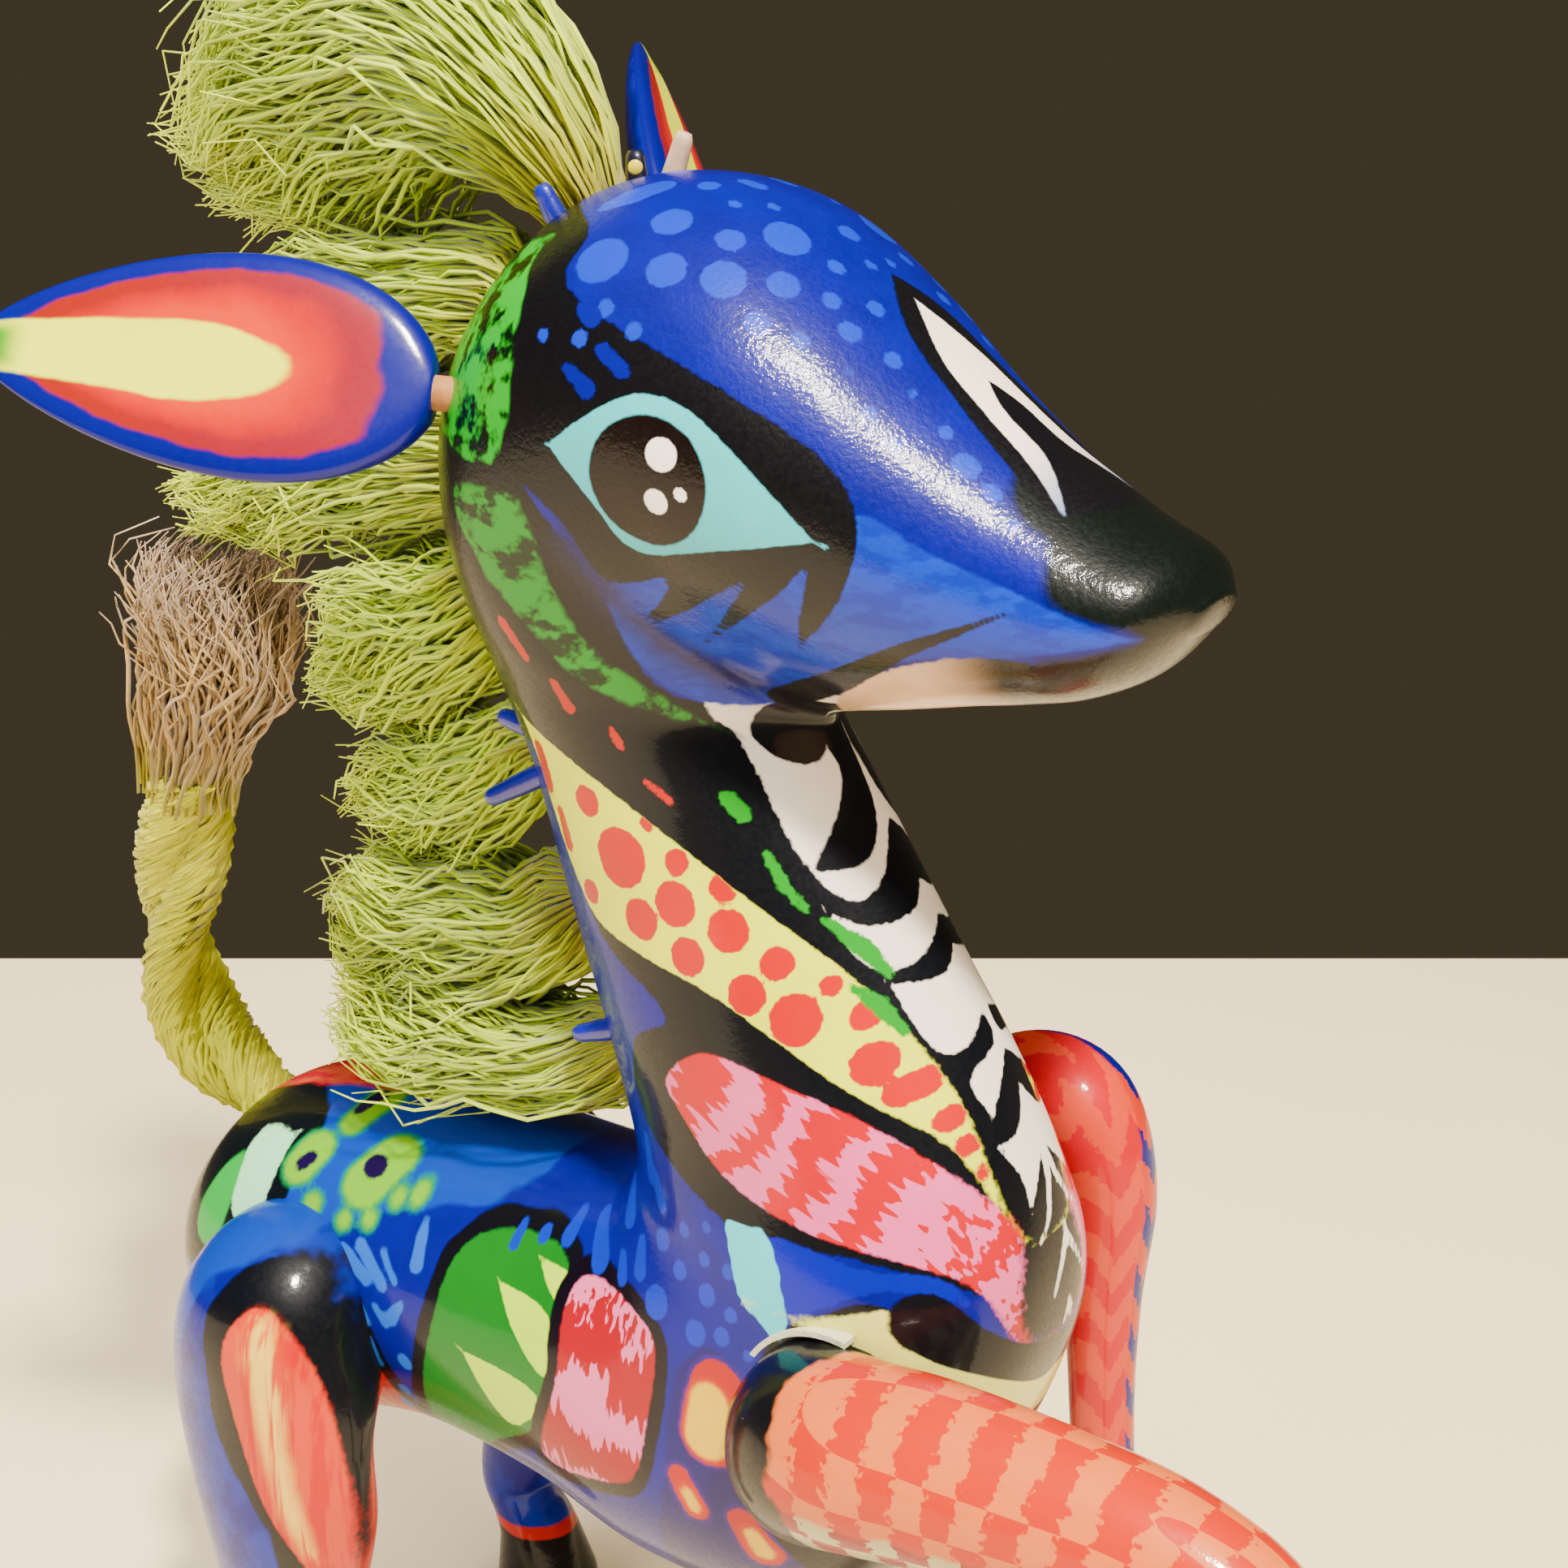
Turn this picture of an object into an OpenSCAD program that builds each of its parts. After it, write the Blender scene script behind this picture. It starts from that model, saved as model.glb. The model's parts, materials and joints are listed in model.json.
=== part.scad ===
// Alebrije foal: a carved and painted wooden foal with a fibre mane, a rope tail and turning ears.
// It faces +X, its right side is -Y, +Z is up, and its soles stand on z = 0.

/* [Carved block] */
// Full width of the trunk at the shoulders and the rump
trunk_w = 25.2; // [23:0.2:27]
// Full width of the neck at its narrowest
neck_w = 16.4; // [14:0.2:18]
// Full width of the head between the eyes
head_w = 27.6; // [25:0.2:29]
// Sides of each ring of the carved block
block_sides = 28; // [20:4:36]

/* [Ears] */
// Length of an ear from its root to its tip
ear_length = 26; // [20:0.5:28]
// Widest part of an ear
ear_width = 12.4; // [9:0.2:13]
// Thickness of an ear
ear_thickness = 3.4; // [3:0.1:4]
// Diameter of the peg that an ear turns on
ear_peg_d = 2; // [1.6:0.1:2.2]
// Gap all round between an ear peg and the head or the ear
ear_peg_gap = 0.05; // [0.03:0.01:0.1]

/* [Legs] */
// Diameter of the hidden leg dowels
dowel_d = 2.5; // [2:0.1:3]
// Length of a leg dowel
dowel_length = 9; // [7:0.5:10]
// Height of a hoof
hoof_height = 4; // [3:0.5:5]

/* [Mane and tail] */
// Diameter of the drilled holes that the tufts are glued in
tuft_hole_d = 4; // [3:0.1:4.4]
// Diameter of the small wedges beside the tufts
wedge_d = 1.5; // [1.2:0.1:1.8]
// Diameter of the rope tail
tail_d = 7; // [5:0.2:7.6]

/* [Hidden] */

// Half widths of the block: trunk, neck and head.
tw = trunk_w / 2;
nw = neck_w / 2;
hw = head_w / 2;

// Rings of the block from rump to nose. Each is [lower x, lower z, upper x, upper z, half width,
// height of the widest line as a share of the ring]. The rings fan round the withers and the throat.
BLOCK = [
    [-42.3, 35.5, -42.5, 38.5, 2.5, 0.5], [-40.7, 31, -40.7, 43.8, 0.6 * tw, 0.5],
    [-36.3, 27, -35.9, 48.8, 0.9 * tw, 0.5], [-27.5, 26, -27.5, 51.4, tw, 0.5],
    [-16.5, 28, -16.5, 51.4, 0.93 * tw, 0.5], [-5.5, 27.5, -7.5, 51.5, 0.94 * tw, 0.5],
    [5.5, 25.5, -2.5, 52.5, tw, 0.5], [16.5, 28, -1.3, 53.5, tw, 0.48],
    [23.9, 38, -1.1, 54.5, 0.95 * tw, 0.45], [27.3, 46.4, -1.1, 55.5, 0.9 * tw, 0.42],
    [28.1, 52.5, -1.5, 57, 0.86 * tw, 0.42], [26.8, 58.5, -2.5, 59.5, 1.2 * nw, 0.45],
    [23.9, 65, -3.9, 63.5, 1.11 * nw, 0.48], [20.3, 71, -5.7, 68.5, 1.03 * nw, 0.5],
    [16.6, 76.5, -7.5, 74, nw, 0.5], [13.7, 81, -9.1, 80, 1.01 * nw, 0.52],
    [12.1, 83.8, -10.7, 86, 1.13 * nw, 0.58], [12, 84.6, -11.9, 92, 0.79 * hw, 0.62],
    [12.3, 85, -12.1, 98, 0.89 * hw, 0.64], [12.9, 85.2, -11, 104.3, 0.96 * hw, 0.64],
    [13.7, 85.4, -8.1, 109.6, hw, 0.62], [14.7, 85.6, -3.3, 113.6, hw, 0.6],
    [16.1, 85.9, 2.5, 115, 0.97 * hw, 0.57], [17.9, 86.3, 9.1, 114, 0.9 * hw, 0.54],
    [20.1, 86.8, 14.9, 110.4, 0.8 * hw, 0.52], [22.7, 87.4, 20.3, 105.8, 0.7 * hw, 0.5],
    [25.9, 88, 25.5, 101.8, 0.6 * hw, 0.5], [29.1, 88.8, 30.3, 98.9, 0.53 * hw, 0.5],
    [32.3, 90.4, 33.9, 97.2, 0.42 * hw, 0.5], [34.5, 92.8, 35.5, 95.4, 0.19 * hw, 0.5]];

// ---------- Smooth lofts ----------
function unit(v) = v / norm(v);

// A Catmull-Rom point between b and c, with a before and d after them.
function between(a, b, c, d, t) =
    0.5 * (2 * b + (c - a) * t + (2 * a - 5 * b + 4 * c - d) * t * t + (3 * b - a - 3 * c + d) * t * t * t);

// The rows of a table with steps - 1 smooth rows added between each pair.
function smooth_rows(rows, steps) = let (last = len(rows) - 1) [
    for (i = [0 : last - 1]) for (k = [0 : steps - 1])
        between(rows[max(i - 1, 0)], rows[i], rows[i + 1], rows[min(i + 2, last)], k / steps),
    rows[last]];

// One ring of the block: an ellipse whose widest line sits at share row[5] of its height.
function block_ring(row, sides) = let (power = ln(row[5]) / ln(0.5)) [
    for (j = [0 : sides - 1]) let (a = 360 * j / sides, h = pow((1 - cos(a)) / 2, power))
        [row[0] + (row[2] - row[0]) * h, row[4] * sin(a), row[1] + (row[3] - row[1]) * h]];

// The direction of a path of rows at row i.
function heading(rows, i) = let (a = rows[max(i - 1, 0)], b = rows[min(i + 1, len(rows) - 1)])
    unit([b[0] - a[0], b[1] - a[1], b[2] - a[2]]);

// One ring of a limb at row [x, y, z, radius across, radius along ref], square to the direction t.
function limb_ring(r, t, sides, ref) = let (u = unit(cross(t, ref)), v = cross(t, u), p = [r[0], r[1], r[2]])
    [for (j = [0 : sides - 1]) let (a = 360 * j / sides) p + u * r[3] * cos(a) + v * r[4] * sin(a)];

// The skin over a list of rings with the same number of points, closed by flat ends.
module skin(rings) {
    n = len(rings[0]);
    last = len(rings) - 1;
    points = [for (ring = rings) for (p = ring) p];
    sides = [for (i = [0 : last - 1]) for (j = [0 : n - 1]) let (k = (j + 1) % n)
        each [[i * n + j, (i + 1) * n + j, (i + 1) * n + k], [i * n + j, (i + 1) * n + k, i * n + k]]];
    ends = [[for (j = [0 : n - 1]) j], [for (j = [n - 1 : -1 : 0]) last * n + j]];
    polyhedron(points = points, faces = concat(sides, ends), convexity = 10);
}

// A solid swept along rows. Its two ends can be cut square to given directions.
module limb(rows, sides = 16, steps = 3, ref = [1, 0, 0], first = undef, final = undef) {
    path = smooth_rows(rows, steps);
    last = len(path) - 1;
    skin([for (i = [0 : last]) let (
        t = i == 0 && !is_undef(first) ? first : i == last && !is_undef(final) ? final : heading(path, i))
        limb_ring(path[i], t, sides, ref)]);
}

// A straight round rod from a point along a direction.
module rod(from, along, length, d) {
    turn = atan2(along[1], along[0]);
    drop = acos(unit(along)[2]);
    translate(from) rotate([0, drop, turn]) cylinder(h = length, d = d, $fn = 32);
}

// ---------- Legs ----------
// Each leg is [x, y, z, radius across, radius along X] from its flat seat on the block to its sole.
seat_fore = 10.4;
seat_hind = 9.4;
seat_gap = 0.8;
FORE_RIGHT = [[19.7, -seat_fore, 45.8, 5.8, 5.8], [20.1, -12.6, 46.2, 5.7, 5.7], [23.1, -14.2, 47.6, 5.3, 5.3],
    [28.5, -14.4, 48.6, 5, 5], [35.5, -14.2, 49, 4.5, 4.5], [42.1, -14, 48.8, 4, 4],
    [47.1, -14, 46.6, 3.7, 3.7], [48.9, -14, 41, 3.3, 3.3], [47.9, -13.9, 34, 2.9, 2.9],
    [46.5, -13.8, 25, 2.6, 2.6], [45.9, -13.8, 15, 2.5, 2.5], [46.3, -13.8, 8, 2.8, 2.8],
    [47.1, -13.8, hoof_height, 3.4, 3.4], [47.9, -13.8, 0, 4.2, 4.2]];
FORE_LEFT = [[11.2, seat_fore, 46.6, 5.2, 5.2], [11.3, 13.4, 47, 5.1, 5.1], [13, 16.4, 50.8, 4.6, 4.6],
    [16.8, 16.8, 55.4, 4.1, 4.1], [21, 16.2, 55.6, 3.8, 3.8], [23.2, 16, 50.4, 3.3, 3.3],
    [23.5, 15.6, 43, 2.6, 2.6], [24, 15.2, 35, 2.2, 2.2], [25, 14.8, 25, 2.1, 2.1],
    [25.9, 14.4, 15, 2.2, 2.2], [26.7, 14.2, 8, 2.6, 2.6], [27.6, 14, hoof_height, 3.2, 3.2],
    [28.4, 14, 0, 4, 4]];
HIND = [[-25, -seat_hind, 38, 7.6, 7.6], [-25, -12.2, 37.8, 7.7, 7.7], [-24.4, -14.6, 32.4, 4.5, 8.6],
    [-24, -14.6, 25, 4.5, 7.8], [-24.7, -14.3, 18, 4.1, 5.8], [-27.2, -14, 12.6, 3.4, 4.1],
    [-28.3, -13.8, 9, 2.9, 3.2], [-27.4, -13.8, 6.4, 2.8, 3], [-26.3, -13.8, hoof_height, 3.2, 3.5],
    [-25.5, -13.8, 0, 4, 4.4]];
fore_ref = [0.45, 0.35, 0.82];

function mirrored(rows) = [for (r = rows) [r[0], -r[1], r[2], r[3], r[4]]];
function foot_point(rows, i = 0) = [rows[i][0], rows[i][1], rows[i][2]];

// A dowel runs square through the seat of a leg, a little more than half of it in the block.
module dowel(rows, side) {
    p = foot_point(rows);
    rod([p[0], p[1] - side * 0.6 * dowel_length, p[2]], [0, side, 0], dowel_length, dowel_d);
}

// The round hole for a dowel, as deep as the dowel is long.
module dowel_hole(rows, side) {
    p = foot_point(rows);
    rod([p[0], p[1] - side * (0.6 * dowel_length + 0.2), p[2]], [0, side, 0], dowel_length + 0.4, dowel_d + 0.04);
}

// The flat round seat that a leg stands on.
module seat(rows, side) {
    p = foot_point(rows);
    rod(p, [0, side, 0], 8, 2 * (rows[0][3] + seat_gap));
}

// A leg with a flat seat, a flat sole and a dowel hole; side is -1 on the right and 1 on the left.
module leg(rows, side, ref) {
    difference() {
        limb(rows, ref = ref, first = [0, side, 0], final = [0, 0, -1]);
        dowel_hole(rows, side);
    }
}

module leg_fore_right() color("orangered") leg(FORE_RIGHT, -1, fore_ref);
module leg_fore_left() color("hotpink") leg(FORE_LEFT, 1, fore_ref);
module leg_hind_right() color("coral") leg(HIND, -1, [1, 0, 0]);
module leg_hind_left() color("coral") leg(mirrored(HIND), 1, [1, 0, 0]);

// ---------- Ears ----------
// An ear's place: root on the head, heading round Z, lift above level, and roll about its length.
EAR_RIGHT = [-5.7, -10.88, 103];
EAR_LEFT = [-5.7, 10.2, 105.2];
right_turn = 213;
right_lift = 6;
right_roll = -64;
left_turn = 136;
left_lift = 37;
left_roll = 60;
ear_root_gap = 1.5;
ear_slide = 6;
ear_steps = 14;
ear_cup = 0.09;

// One ring of an ear at share s of its length: a thin leaf that is hollow on its inner face.
function ear_ring(s) = let (
    round_off = sqrt(max(0, 1 - pow(2 * s - 1, 2))),
    w = ear_width / 2 * (0.18 * (1 - s) * sqrt(1 - s) + pow(round_off, 1.25) * (1.13 - 0.42 * s)) + 0.15,
    t = ear_thickness / 2 * (0.75 * (1 - s) + 0.55 * round_off) + 0.12)
    [for (j = [0 : 15]) let (a = 360 * j / 16)
        [s * ear_length, w * cos(a), t * sin(a) + ear_cup * w * pow(cos(a), 2) * 2]];

module leaf() {
    skin([for (i = [0 : ear_steps]) ear_ring(0.5 - 0.5 * cos(180 * (0.06 + 0.94 * i / ear_steps)))]);
}

// A peg runs along the ear's own axis, from inside the head to inside the ear.
peg_in_head = ear_slide + 3;
peg_in_ear = 5;

module at_ear(place, turn, lift, roll) {
    translate(place) rotate([roll, -lift, turn]) children();
}

module ear_peg() {
    translate([-peg_in_head, 0, 0]) rotate([0, 90, 0])
        cylinder(h = peg_in_head + peg_in_ear, d = ear_peg_d, $fn = 32);
}

module ear_bore(start, end) {
    translate([start, 0, 0]) rotate([0, 90, 0])
        cylinder(h = end - start, d = ear_peg_d + 2 * ear_peg_gap, $fn = 32);
}

module ear(place, turn, lift, roll) {
    color("gold") at_ear(place, turn, lift, roll) difference() {
        translate([ear_root_gap, 0, 0]) leaf();
        ear_bore(-1, peg_in_ear + 0.2);
    }
}

module ear_right() ear(EAR_RIGHT, right_turn, right_lift, right_roll);
module ear_left() ear(EAR_LEFT, left_turn, left_lift, left_roll);

module ear_peg_right() {
    color("burlywood") at_ear(EAR_RIGHT, right_turn, right_lift, right_roll) ear_peg();
}

module ear_peg_left() {
    color("burlywood") at_ear(EAR_LEFT, left_turn, left_lift, left_roll) ear_peg();
}

// ---------- Mane ----------
// Each tuft is [x, y, z, half height, half width] from the bottom of its hole to its tip.
hole_depth = 5;
plug_r = tuft_hole_d / 2 - 0.05;
tuft_sides = 12;

// Root on the crest and heading of each tuft's hole, in degrees from +X towards +Z.
TUFT_ROOTS = [[-5.3, 112.4, 118], [-10.3, 106.6, 152], [-12.2, 97.4, 178], [-11.4, 89.2, 186],
    [-9.3, 80, 202], [-6.3, 69.9, 206], [-3, 60.6, 212]];

function out(root, s) = [root[0] + s * cos(root[2]), 0, root[1] + s * sin(root[2])];
function plug(root) = [for (s = [-hole_depth, -hole_depth / 2, 0.4])
    concat(out(root, s), [plug_r, plug_r])];

module tuft(index, rows) {
    color("greenyellow") limb(concat(plug(TUFT_ROOTS[index]), rows), sides = tuft_sides, steps = 2, ref = [0, 1, 0]);
}

module mane_forelock() tuft(0, [[-8.9, 0, 117.4, 4.4, 5], [-14.5, 0, 121, 7.2, 7.6], [-22.5, 0, 120.8, 9, 8.8],
    [-30.5, 0, 118.2, 8.6, 7.6], [-36.5, 0, 116, 5.4, 4.8], [-40.1, 0, 115, 2, 1.6]]);

module mane_nape() tuft(1, [[-15.5, 0, 107.6, 2.4, 4], [-22.5, 0, 106.6, 2.7, 4.6], [-29.5, 0, 104.8, 2.5, 4],
    [-34.5, 0, 103.4, 1.2, 1.6]]);

module mane_curl() tuft(2, [[-16.9, 0, 97.6, 3.6, 4.4], [-24.5, 0, 96.6, 4.2, 5.2], [-32.5, 0, 94.6, 3.4, 4.4],
    [-39.5, 0, 92.8, 2, 2.6], [-43.5, 0, 92.4, 0.8, 0.9]]);

module mane_middle() tuft(3, [[-15.5, 0, 87.4, 3.6, 4.2], [-21.5, 0, 85.4, 4.6, 5], [-26.9, 0, 83.4, 3.8, 4],
    [-30.9, 0, 82.2, 1.4, 1.6]]);

module mane_wisp() tuft(4, [[-13.5, 0, 77, 2.5, 3.2], [-19.5, 0, 74.6, 3, 3.8], [-24.5, 0, 73.2, 2.2, 2.6],
    [-27.5, 0, 72.8, 0.8, 1]]);

module mane_withers_upper() tuft(5, [[-11.1, 0, 66.8, 3, 4.6], [-18.1, 0, 65.2, 3.9, 6], [-25.5, 0, 64.4, 3.4, 5],
    [-31.1, 0, 64, 1.3, 2]]);

module mane_withers_lower() tuft(6, [[-9.3, -0.4, 57.4, 2.6, 5], [-16.5, -0.8, 56.9, 3.1, 7], [-23.5, -1, 56.9, 3, 6.2],
    [-30.5, -1, 57.4, 1.4, 2.6]]);

module tuft_hole(root) {
    start = out(root, -hole_depth - 0.2);
    rod(start, [cos(root[2]), 0, sin(root[2])], hole_depth + 6, tuft_hole_d);
}

// ---------- Wedges ----------
// Each wedge is [x, y, z where it leaves the wood, heading x, y, z, length that shows].
WEDGES = [[-5.1, -3.3, 112.4, -0.4, -0.25, 1, 1.9], [-1.3, -0.5, 114, 0, -0.1, 1, 2],
    [-0.7, 1.8, 114.1, 0.35, 0.05, 1, 3], [-8.3, -4.2, 81.9, -1, -0.3, 0.3, 1.6],
    [-8.1, -4.4, 78.2, -0.8, -0.35, -0.45, 2.8], [-2.3, -4.2, 62.8, -1, -0.3, -0.3, 2.2]];
wedge_in_wood = 2.6;
wedge_gap = 0.04;

function wedge_foot(w) = [w[0], w[1], w[2]] - wedge_in_wood * unit([w[3], w[4], w[5]]);

module wedge(index, tint) {
    w = WEDGES[index];
    color(tint) rod(wedge_foot(w), [w[3], w[4], w[5]], wedge_in_wood + w[6], wedge_d);
}

module wedge_hole(w) rod(wedge_foot(w), [w[3], w[4], w[5]], 8, wedge_d + 2 * wedge_gap);

module wedge_poll_blue() wedge(0, "blue");
module wedge_poll_black() wedge(1, "black");
module wedge_poll_pale() wedge(2, "wheat");
module wedge_wisp_blue() wedge(3, "blue");
module wedge_neck_blue() wedge(4, "blue");
module wedge_withers_blue() wedge(5, "blue");

// ---------- Tail ----------
// The rope is [x, y, z, radius, radius] from the bottom of its hole to where its strands part.
tr = tail_d / 2;
tail_hole_angle = 150;
TAIL_ROOT = [-37.1, 0, 44.8];
tail_hole_depth = 6;
TAIL = [[-40.7, 0, 46.9, tr, tr], [-45.3, 0, 48.8, tr, tr], [-48.1, 0, 52.6, tr, tr],
    [-48.7, 0, 58, tr, tr], [-46.9, 0, 65, tr, tr], [-44.9, 0, 71.6, 1.1 * tr, 1.1 * tr]];
BRUSH = [[-44.8, 0, 71.9, 1.1 * tr, 1.1 * tr], [-43.1, 0, 76.4, 1.6 * tr, 1.4 * tr], [-41.1, 0, 81.4, 2.1 * tr, 1.8 * tr],
    [-39.7, 0, 86, 2.1 * tr, 1.8 * tr], [-38.7, 0, 89.4, 1.4 * tr, 1.3 * tr]];

function tail_in(s) = [TAIL_ROOT[0] + s * cos(tail_hole_angle), 0, TAIL_ROOT[2] + s * sin(tail_hole_angle), tr, tr];

module tail_rope() {
    color("yellowgreen") limb(concat([tail_in(-tail_hole_depth), tail_in(-1)], TAIL), sides = 12, ref = [0, 1, 0]);
}

module tail_brush() {
    color("tan") limb(BRUSH, sides = 12, ref = [0, 1, 0]);
}

module tail_hole() {
    start = tail_in(-tail_hole_depth - 0.2);
    rod([start[0], 0, start[2]], [cos(tail_hole_angle), 0, sin(tail_hole_angle)], 16, tail_d + 0.1);
}

// ---------- Putty ----------
// A smear of filler in the seam behind the root of the right fore leg.
module putty_fore_right() {
    p = foot_point(FORE_RIGHT);
    color("gainsboro") difference() {
        rod([p[0], p[1] - 1.1, p[2]], [0, 1, 0], 1, 2 * (FORE_RIGHT[0][3] + seat_gap - 0.05));
        rod([p[0], p[1] - 2, p[2]], [0, 1, 0], 3, 2 * (FORE_RIGHT[0][3] + seat_gap / 2));
        translate([p[0] + 1, p[1] - 2, p[2] - 10]) cube([10, 3, 20]);
    }
}

// ---------- The carved block ----------
module block() skin([for (row = smooth_rows(BLOCK, 2)) block_ring(row, block_sides)]);

module carved_body() {
    color("mediumblue") difference() {
        block();
        seat(FORE_RIGHT, -1);
        seat(FORE_LEFT, 1);
        seat(HIND, -1);
        seat(mirrored(HIND), 1);
        dowel_hole(FORE_RIGHT, -1);
        dowel_hole(FORE_LEFT, 1);
        dowel_hole(HIND, -1);
        dowel_hole(mirrored(HIND), 1);
        at_ear(EAR_RIGHT, right_turn, right_lift, right_roll) ear_bore(-peg_in_head - 0.2, 3);
        at_ear(EAR_LEFT, left_turn, left_lift, left_roll) ear_bore(-peg_in_head - 0.2, 3);
        for (root = TUFT_ROOTS) tuft_hole(root);
        for (w = WEDGES) wedge_hole(w);
        tail_hole();
    }
}

module dowel_fore_right() color("burlywood") dowel(FORE_RIGHT, -1);
module dowel_fore_left() color("burlywood") dowel(FORE_LEFT, 1);
module dowel_hind_right() color("burlywood") dowel(HIND, -1);
module dowel_hind_left() color("burlywood") dowel(mirrored(HIND), 1);

carved_body();
leg_fore_right();
leg_fore_left();
leg_hind_right();
leg_hind_left();
dowel_fore_right();
dowel_fore_left();
dowel_hind_right();
dowel_hind_left();
putty_fore_right();
ear_right();
ear_left();
ear_peg_right();
ear_peg_left();
mane_forelock();
mane_nape();
mane_curl();
mane_middle();
mane_wisp();
mane_withers_upper();
mane_withers_lower();
wedge_poll_blue();
wedge_poll_black();
wedge_poll_pale();
wedge_wisp_blue();
wedge_neck_blue();
wedge_withers_blue();
tail_rope();
tail_brush();
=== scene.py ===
# A carved, painted and varnished wooden foal with a fibre mane, a rope tail and turning ears.
# The lengths in the tables are millimetres in the part's own frame: +X to the muzzle, +Z up.
import json
import math

import bpy
import numpy as np
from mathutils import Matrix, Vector

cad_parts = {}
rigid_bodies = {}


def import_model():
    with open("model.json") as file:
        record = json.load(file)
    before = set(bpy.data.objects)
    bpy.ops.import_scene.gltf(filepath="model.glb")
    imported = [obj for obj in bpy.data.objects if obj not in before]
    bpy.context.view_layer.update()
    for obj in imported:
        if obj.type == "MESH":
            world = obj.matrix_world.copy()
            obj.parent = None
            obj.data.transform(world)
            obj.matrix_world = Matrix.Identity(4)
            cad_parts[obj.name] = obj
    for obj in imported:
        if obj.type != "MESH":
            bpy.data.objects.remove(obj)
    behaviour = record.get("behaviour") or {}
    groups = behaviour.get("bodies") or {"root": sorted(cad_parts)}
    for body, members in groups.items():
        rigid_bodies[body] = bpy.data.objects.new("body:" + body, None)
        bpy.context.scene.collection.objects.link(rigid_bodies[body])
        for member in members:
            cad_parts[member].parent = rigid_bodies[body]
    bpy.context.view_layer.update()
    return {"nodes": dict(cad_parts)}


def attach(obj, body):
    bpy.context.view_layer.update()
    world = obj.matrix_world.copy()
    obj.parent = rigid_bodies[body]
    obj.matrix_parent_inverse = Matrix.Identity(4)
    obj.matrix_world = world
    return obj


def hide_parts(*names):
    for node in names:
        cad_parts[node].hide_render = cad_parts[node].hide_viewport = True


bl_info = {
    "name": "Painted Foal",
    "version": (1, 0, 0),
    "blender": (4, 5, 0),
    "location": "View3D > Sidebar > Foal",
    "description": "Builds a painted wooden foal with a fibre mane and a rope tail around its packed model",
    "category": "Object",
}

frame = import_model()
MM = 0.001

# ---------- Carving tables ----------
trunk_w, neck_w, head_w = 12.6, 8.2, 13.8

# Rings of the block: lower x, lower z, upper x, upper z, half width, share of the height where it is widest.
BLOCK = [
    (-42.3, 35.5, -42.5, 38.5, 2.5, 0.5), (-40.7, 31, -40.7, 43.8, 0.6 * trunk_w, 0.5),
    (-36.3, 27, -35.9, 48.8, 0.9 * trunk_w, 0.5), (-27.5, 26, -27.5, 51.4, trunk_w, 0.5),
    (-16.5, 28, -16.5, 51.4, 0.93 * trunk_w, 0.5), (-5.5, 27.5, -7.5, 51.5, 0.94 * trunk_w, 0.5),
    (5.5, 25.5, -2.5, 52.5, trunk_w, 0.5), (16.5, 28, -1.3, 53.5, trunk_w, 0.48),
    (23.9, 38, -1.1, 54.5, 0.95 * trunk_w, 0.45), (27.3, 46.4, -1.1, 55.5, 0.9 * trunk_w, 0.42),
    (28.1, 52.5, -1.5, 57, 0.86 * trunk_w, 0.42), (26.8, 58.5, -2.5, 59.5, 1.2 * neck_w, 0.45),
    (23.9, 65, -3.9, 63.5, 1.11 * neck_w, 0.48), (20.3, 71, -5.7, 68.5, 1.03 * neck_w, 0.5),
    (16.6, 76.5, -7.5, 74, neck_w, 0.5), (13.7, 81, -9.1, 80, 1.01 * neck_w, 0.52),
    (12.1, 83.8, -10.7, 86, 1.13 * neck_w, 0.58), (12, 84.6, -11.9, 92, 0.79 * head_w, 0.62),
    (12.3, 85, -12.1, 98, 0.89 * head_w, 0.64), (12.9, 85.2, -11, 104.3, 0.96 * head_w, 0.64),
    (13.7, 85.4, -8.1, 109.6, head_w, 0.62), (14.7, 85.6, -3.3, 113.6, head_w, 0.6),
    (16.1, 85.9, 2.5, 115, 0.97 * head_w, 0.57), (17.9, 86.3, 9.1, 114, 0.9 * head_w, 0.54),
    (20.1, 86.8, 14.9, 110.4, 0.8 * head_w, 0.52), (22.7, 87.4, 20.3, 105.8, 0.7 * head_w, 0.5),
    (25.9, 88, 25.5, 101.8, 0.6 * head_w, 0.5), (29.1, 88.8, 30.3, 98.9, 0.53 * head_w, 0.5),
    (32.3, 90.4, 33.9, 97.2, 0.42 * head_w, 0.5), (34.5, 92.8, 35.5, 95.4, 0.19 * head_w, 0.5)]
# The ring where the head starts, how much closer its rings are, and the fine steps between two table rows.
HEAD_START, HEAD_FINER, BLOCK_STEPS = 16, 1.35, 24
CAP_DEPTH = 0.5

# Legs: x, y, z, radius across, radius along the leg's reference direction.
FORE_REF = (0.45, 0.35, 0.82)
FORE_RIGHT = [
    (19.7, -10.4, 45.8, 5.8, 5.8), (20.1, -12.6, 46.2, 5.7, 5.7), (23.1, -14.2, 47.6, 5.3, 5.3),
    (28.5, -14.4, 48.6, 5, 5), (35.5, -14.2, 49, 4.5, 4.5), (42.1, -14, 48.8, 4, 4),
    (47.1, -14, 46.6, 3.7, 3.7), (48.9, -14, 41, 3.3, 3.3), (47.9, -13.9, 34, 2.9, 2.9),
    (46.5, -13.8, 25, 2.6, 2.6), (45.9, -13.8, 15, 2.5, 2.5), (46.3, -13.8, 8, 2.8, 2.8),
    (47.1, -13.8, 4, 3.4, 3.4), (47.9, -13.8, 0, 4.2, 4.2)]
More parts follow.
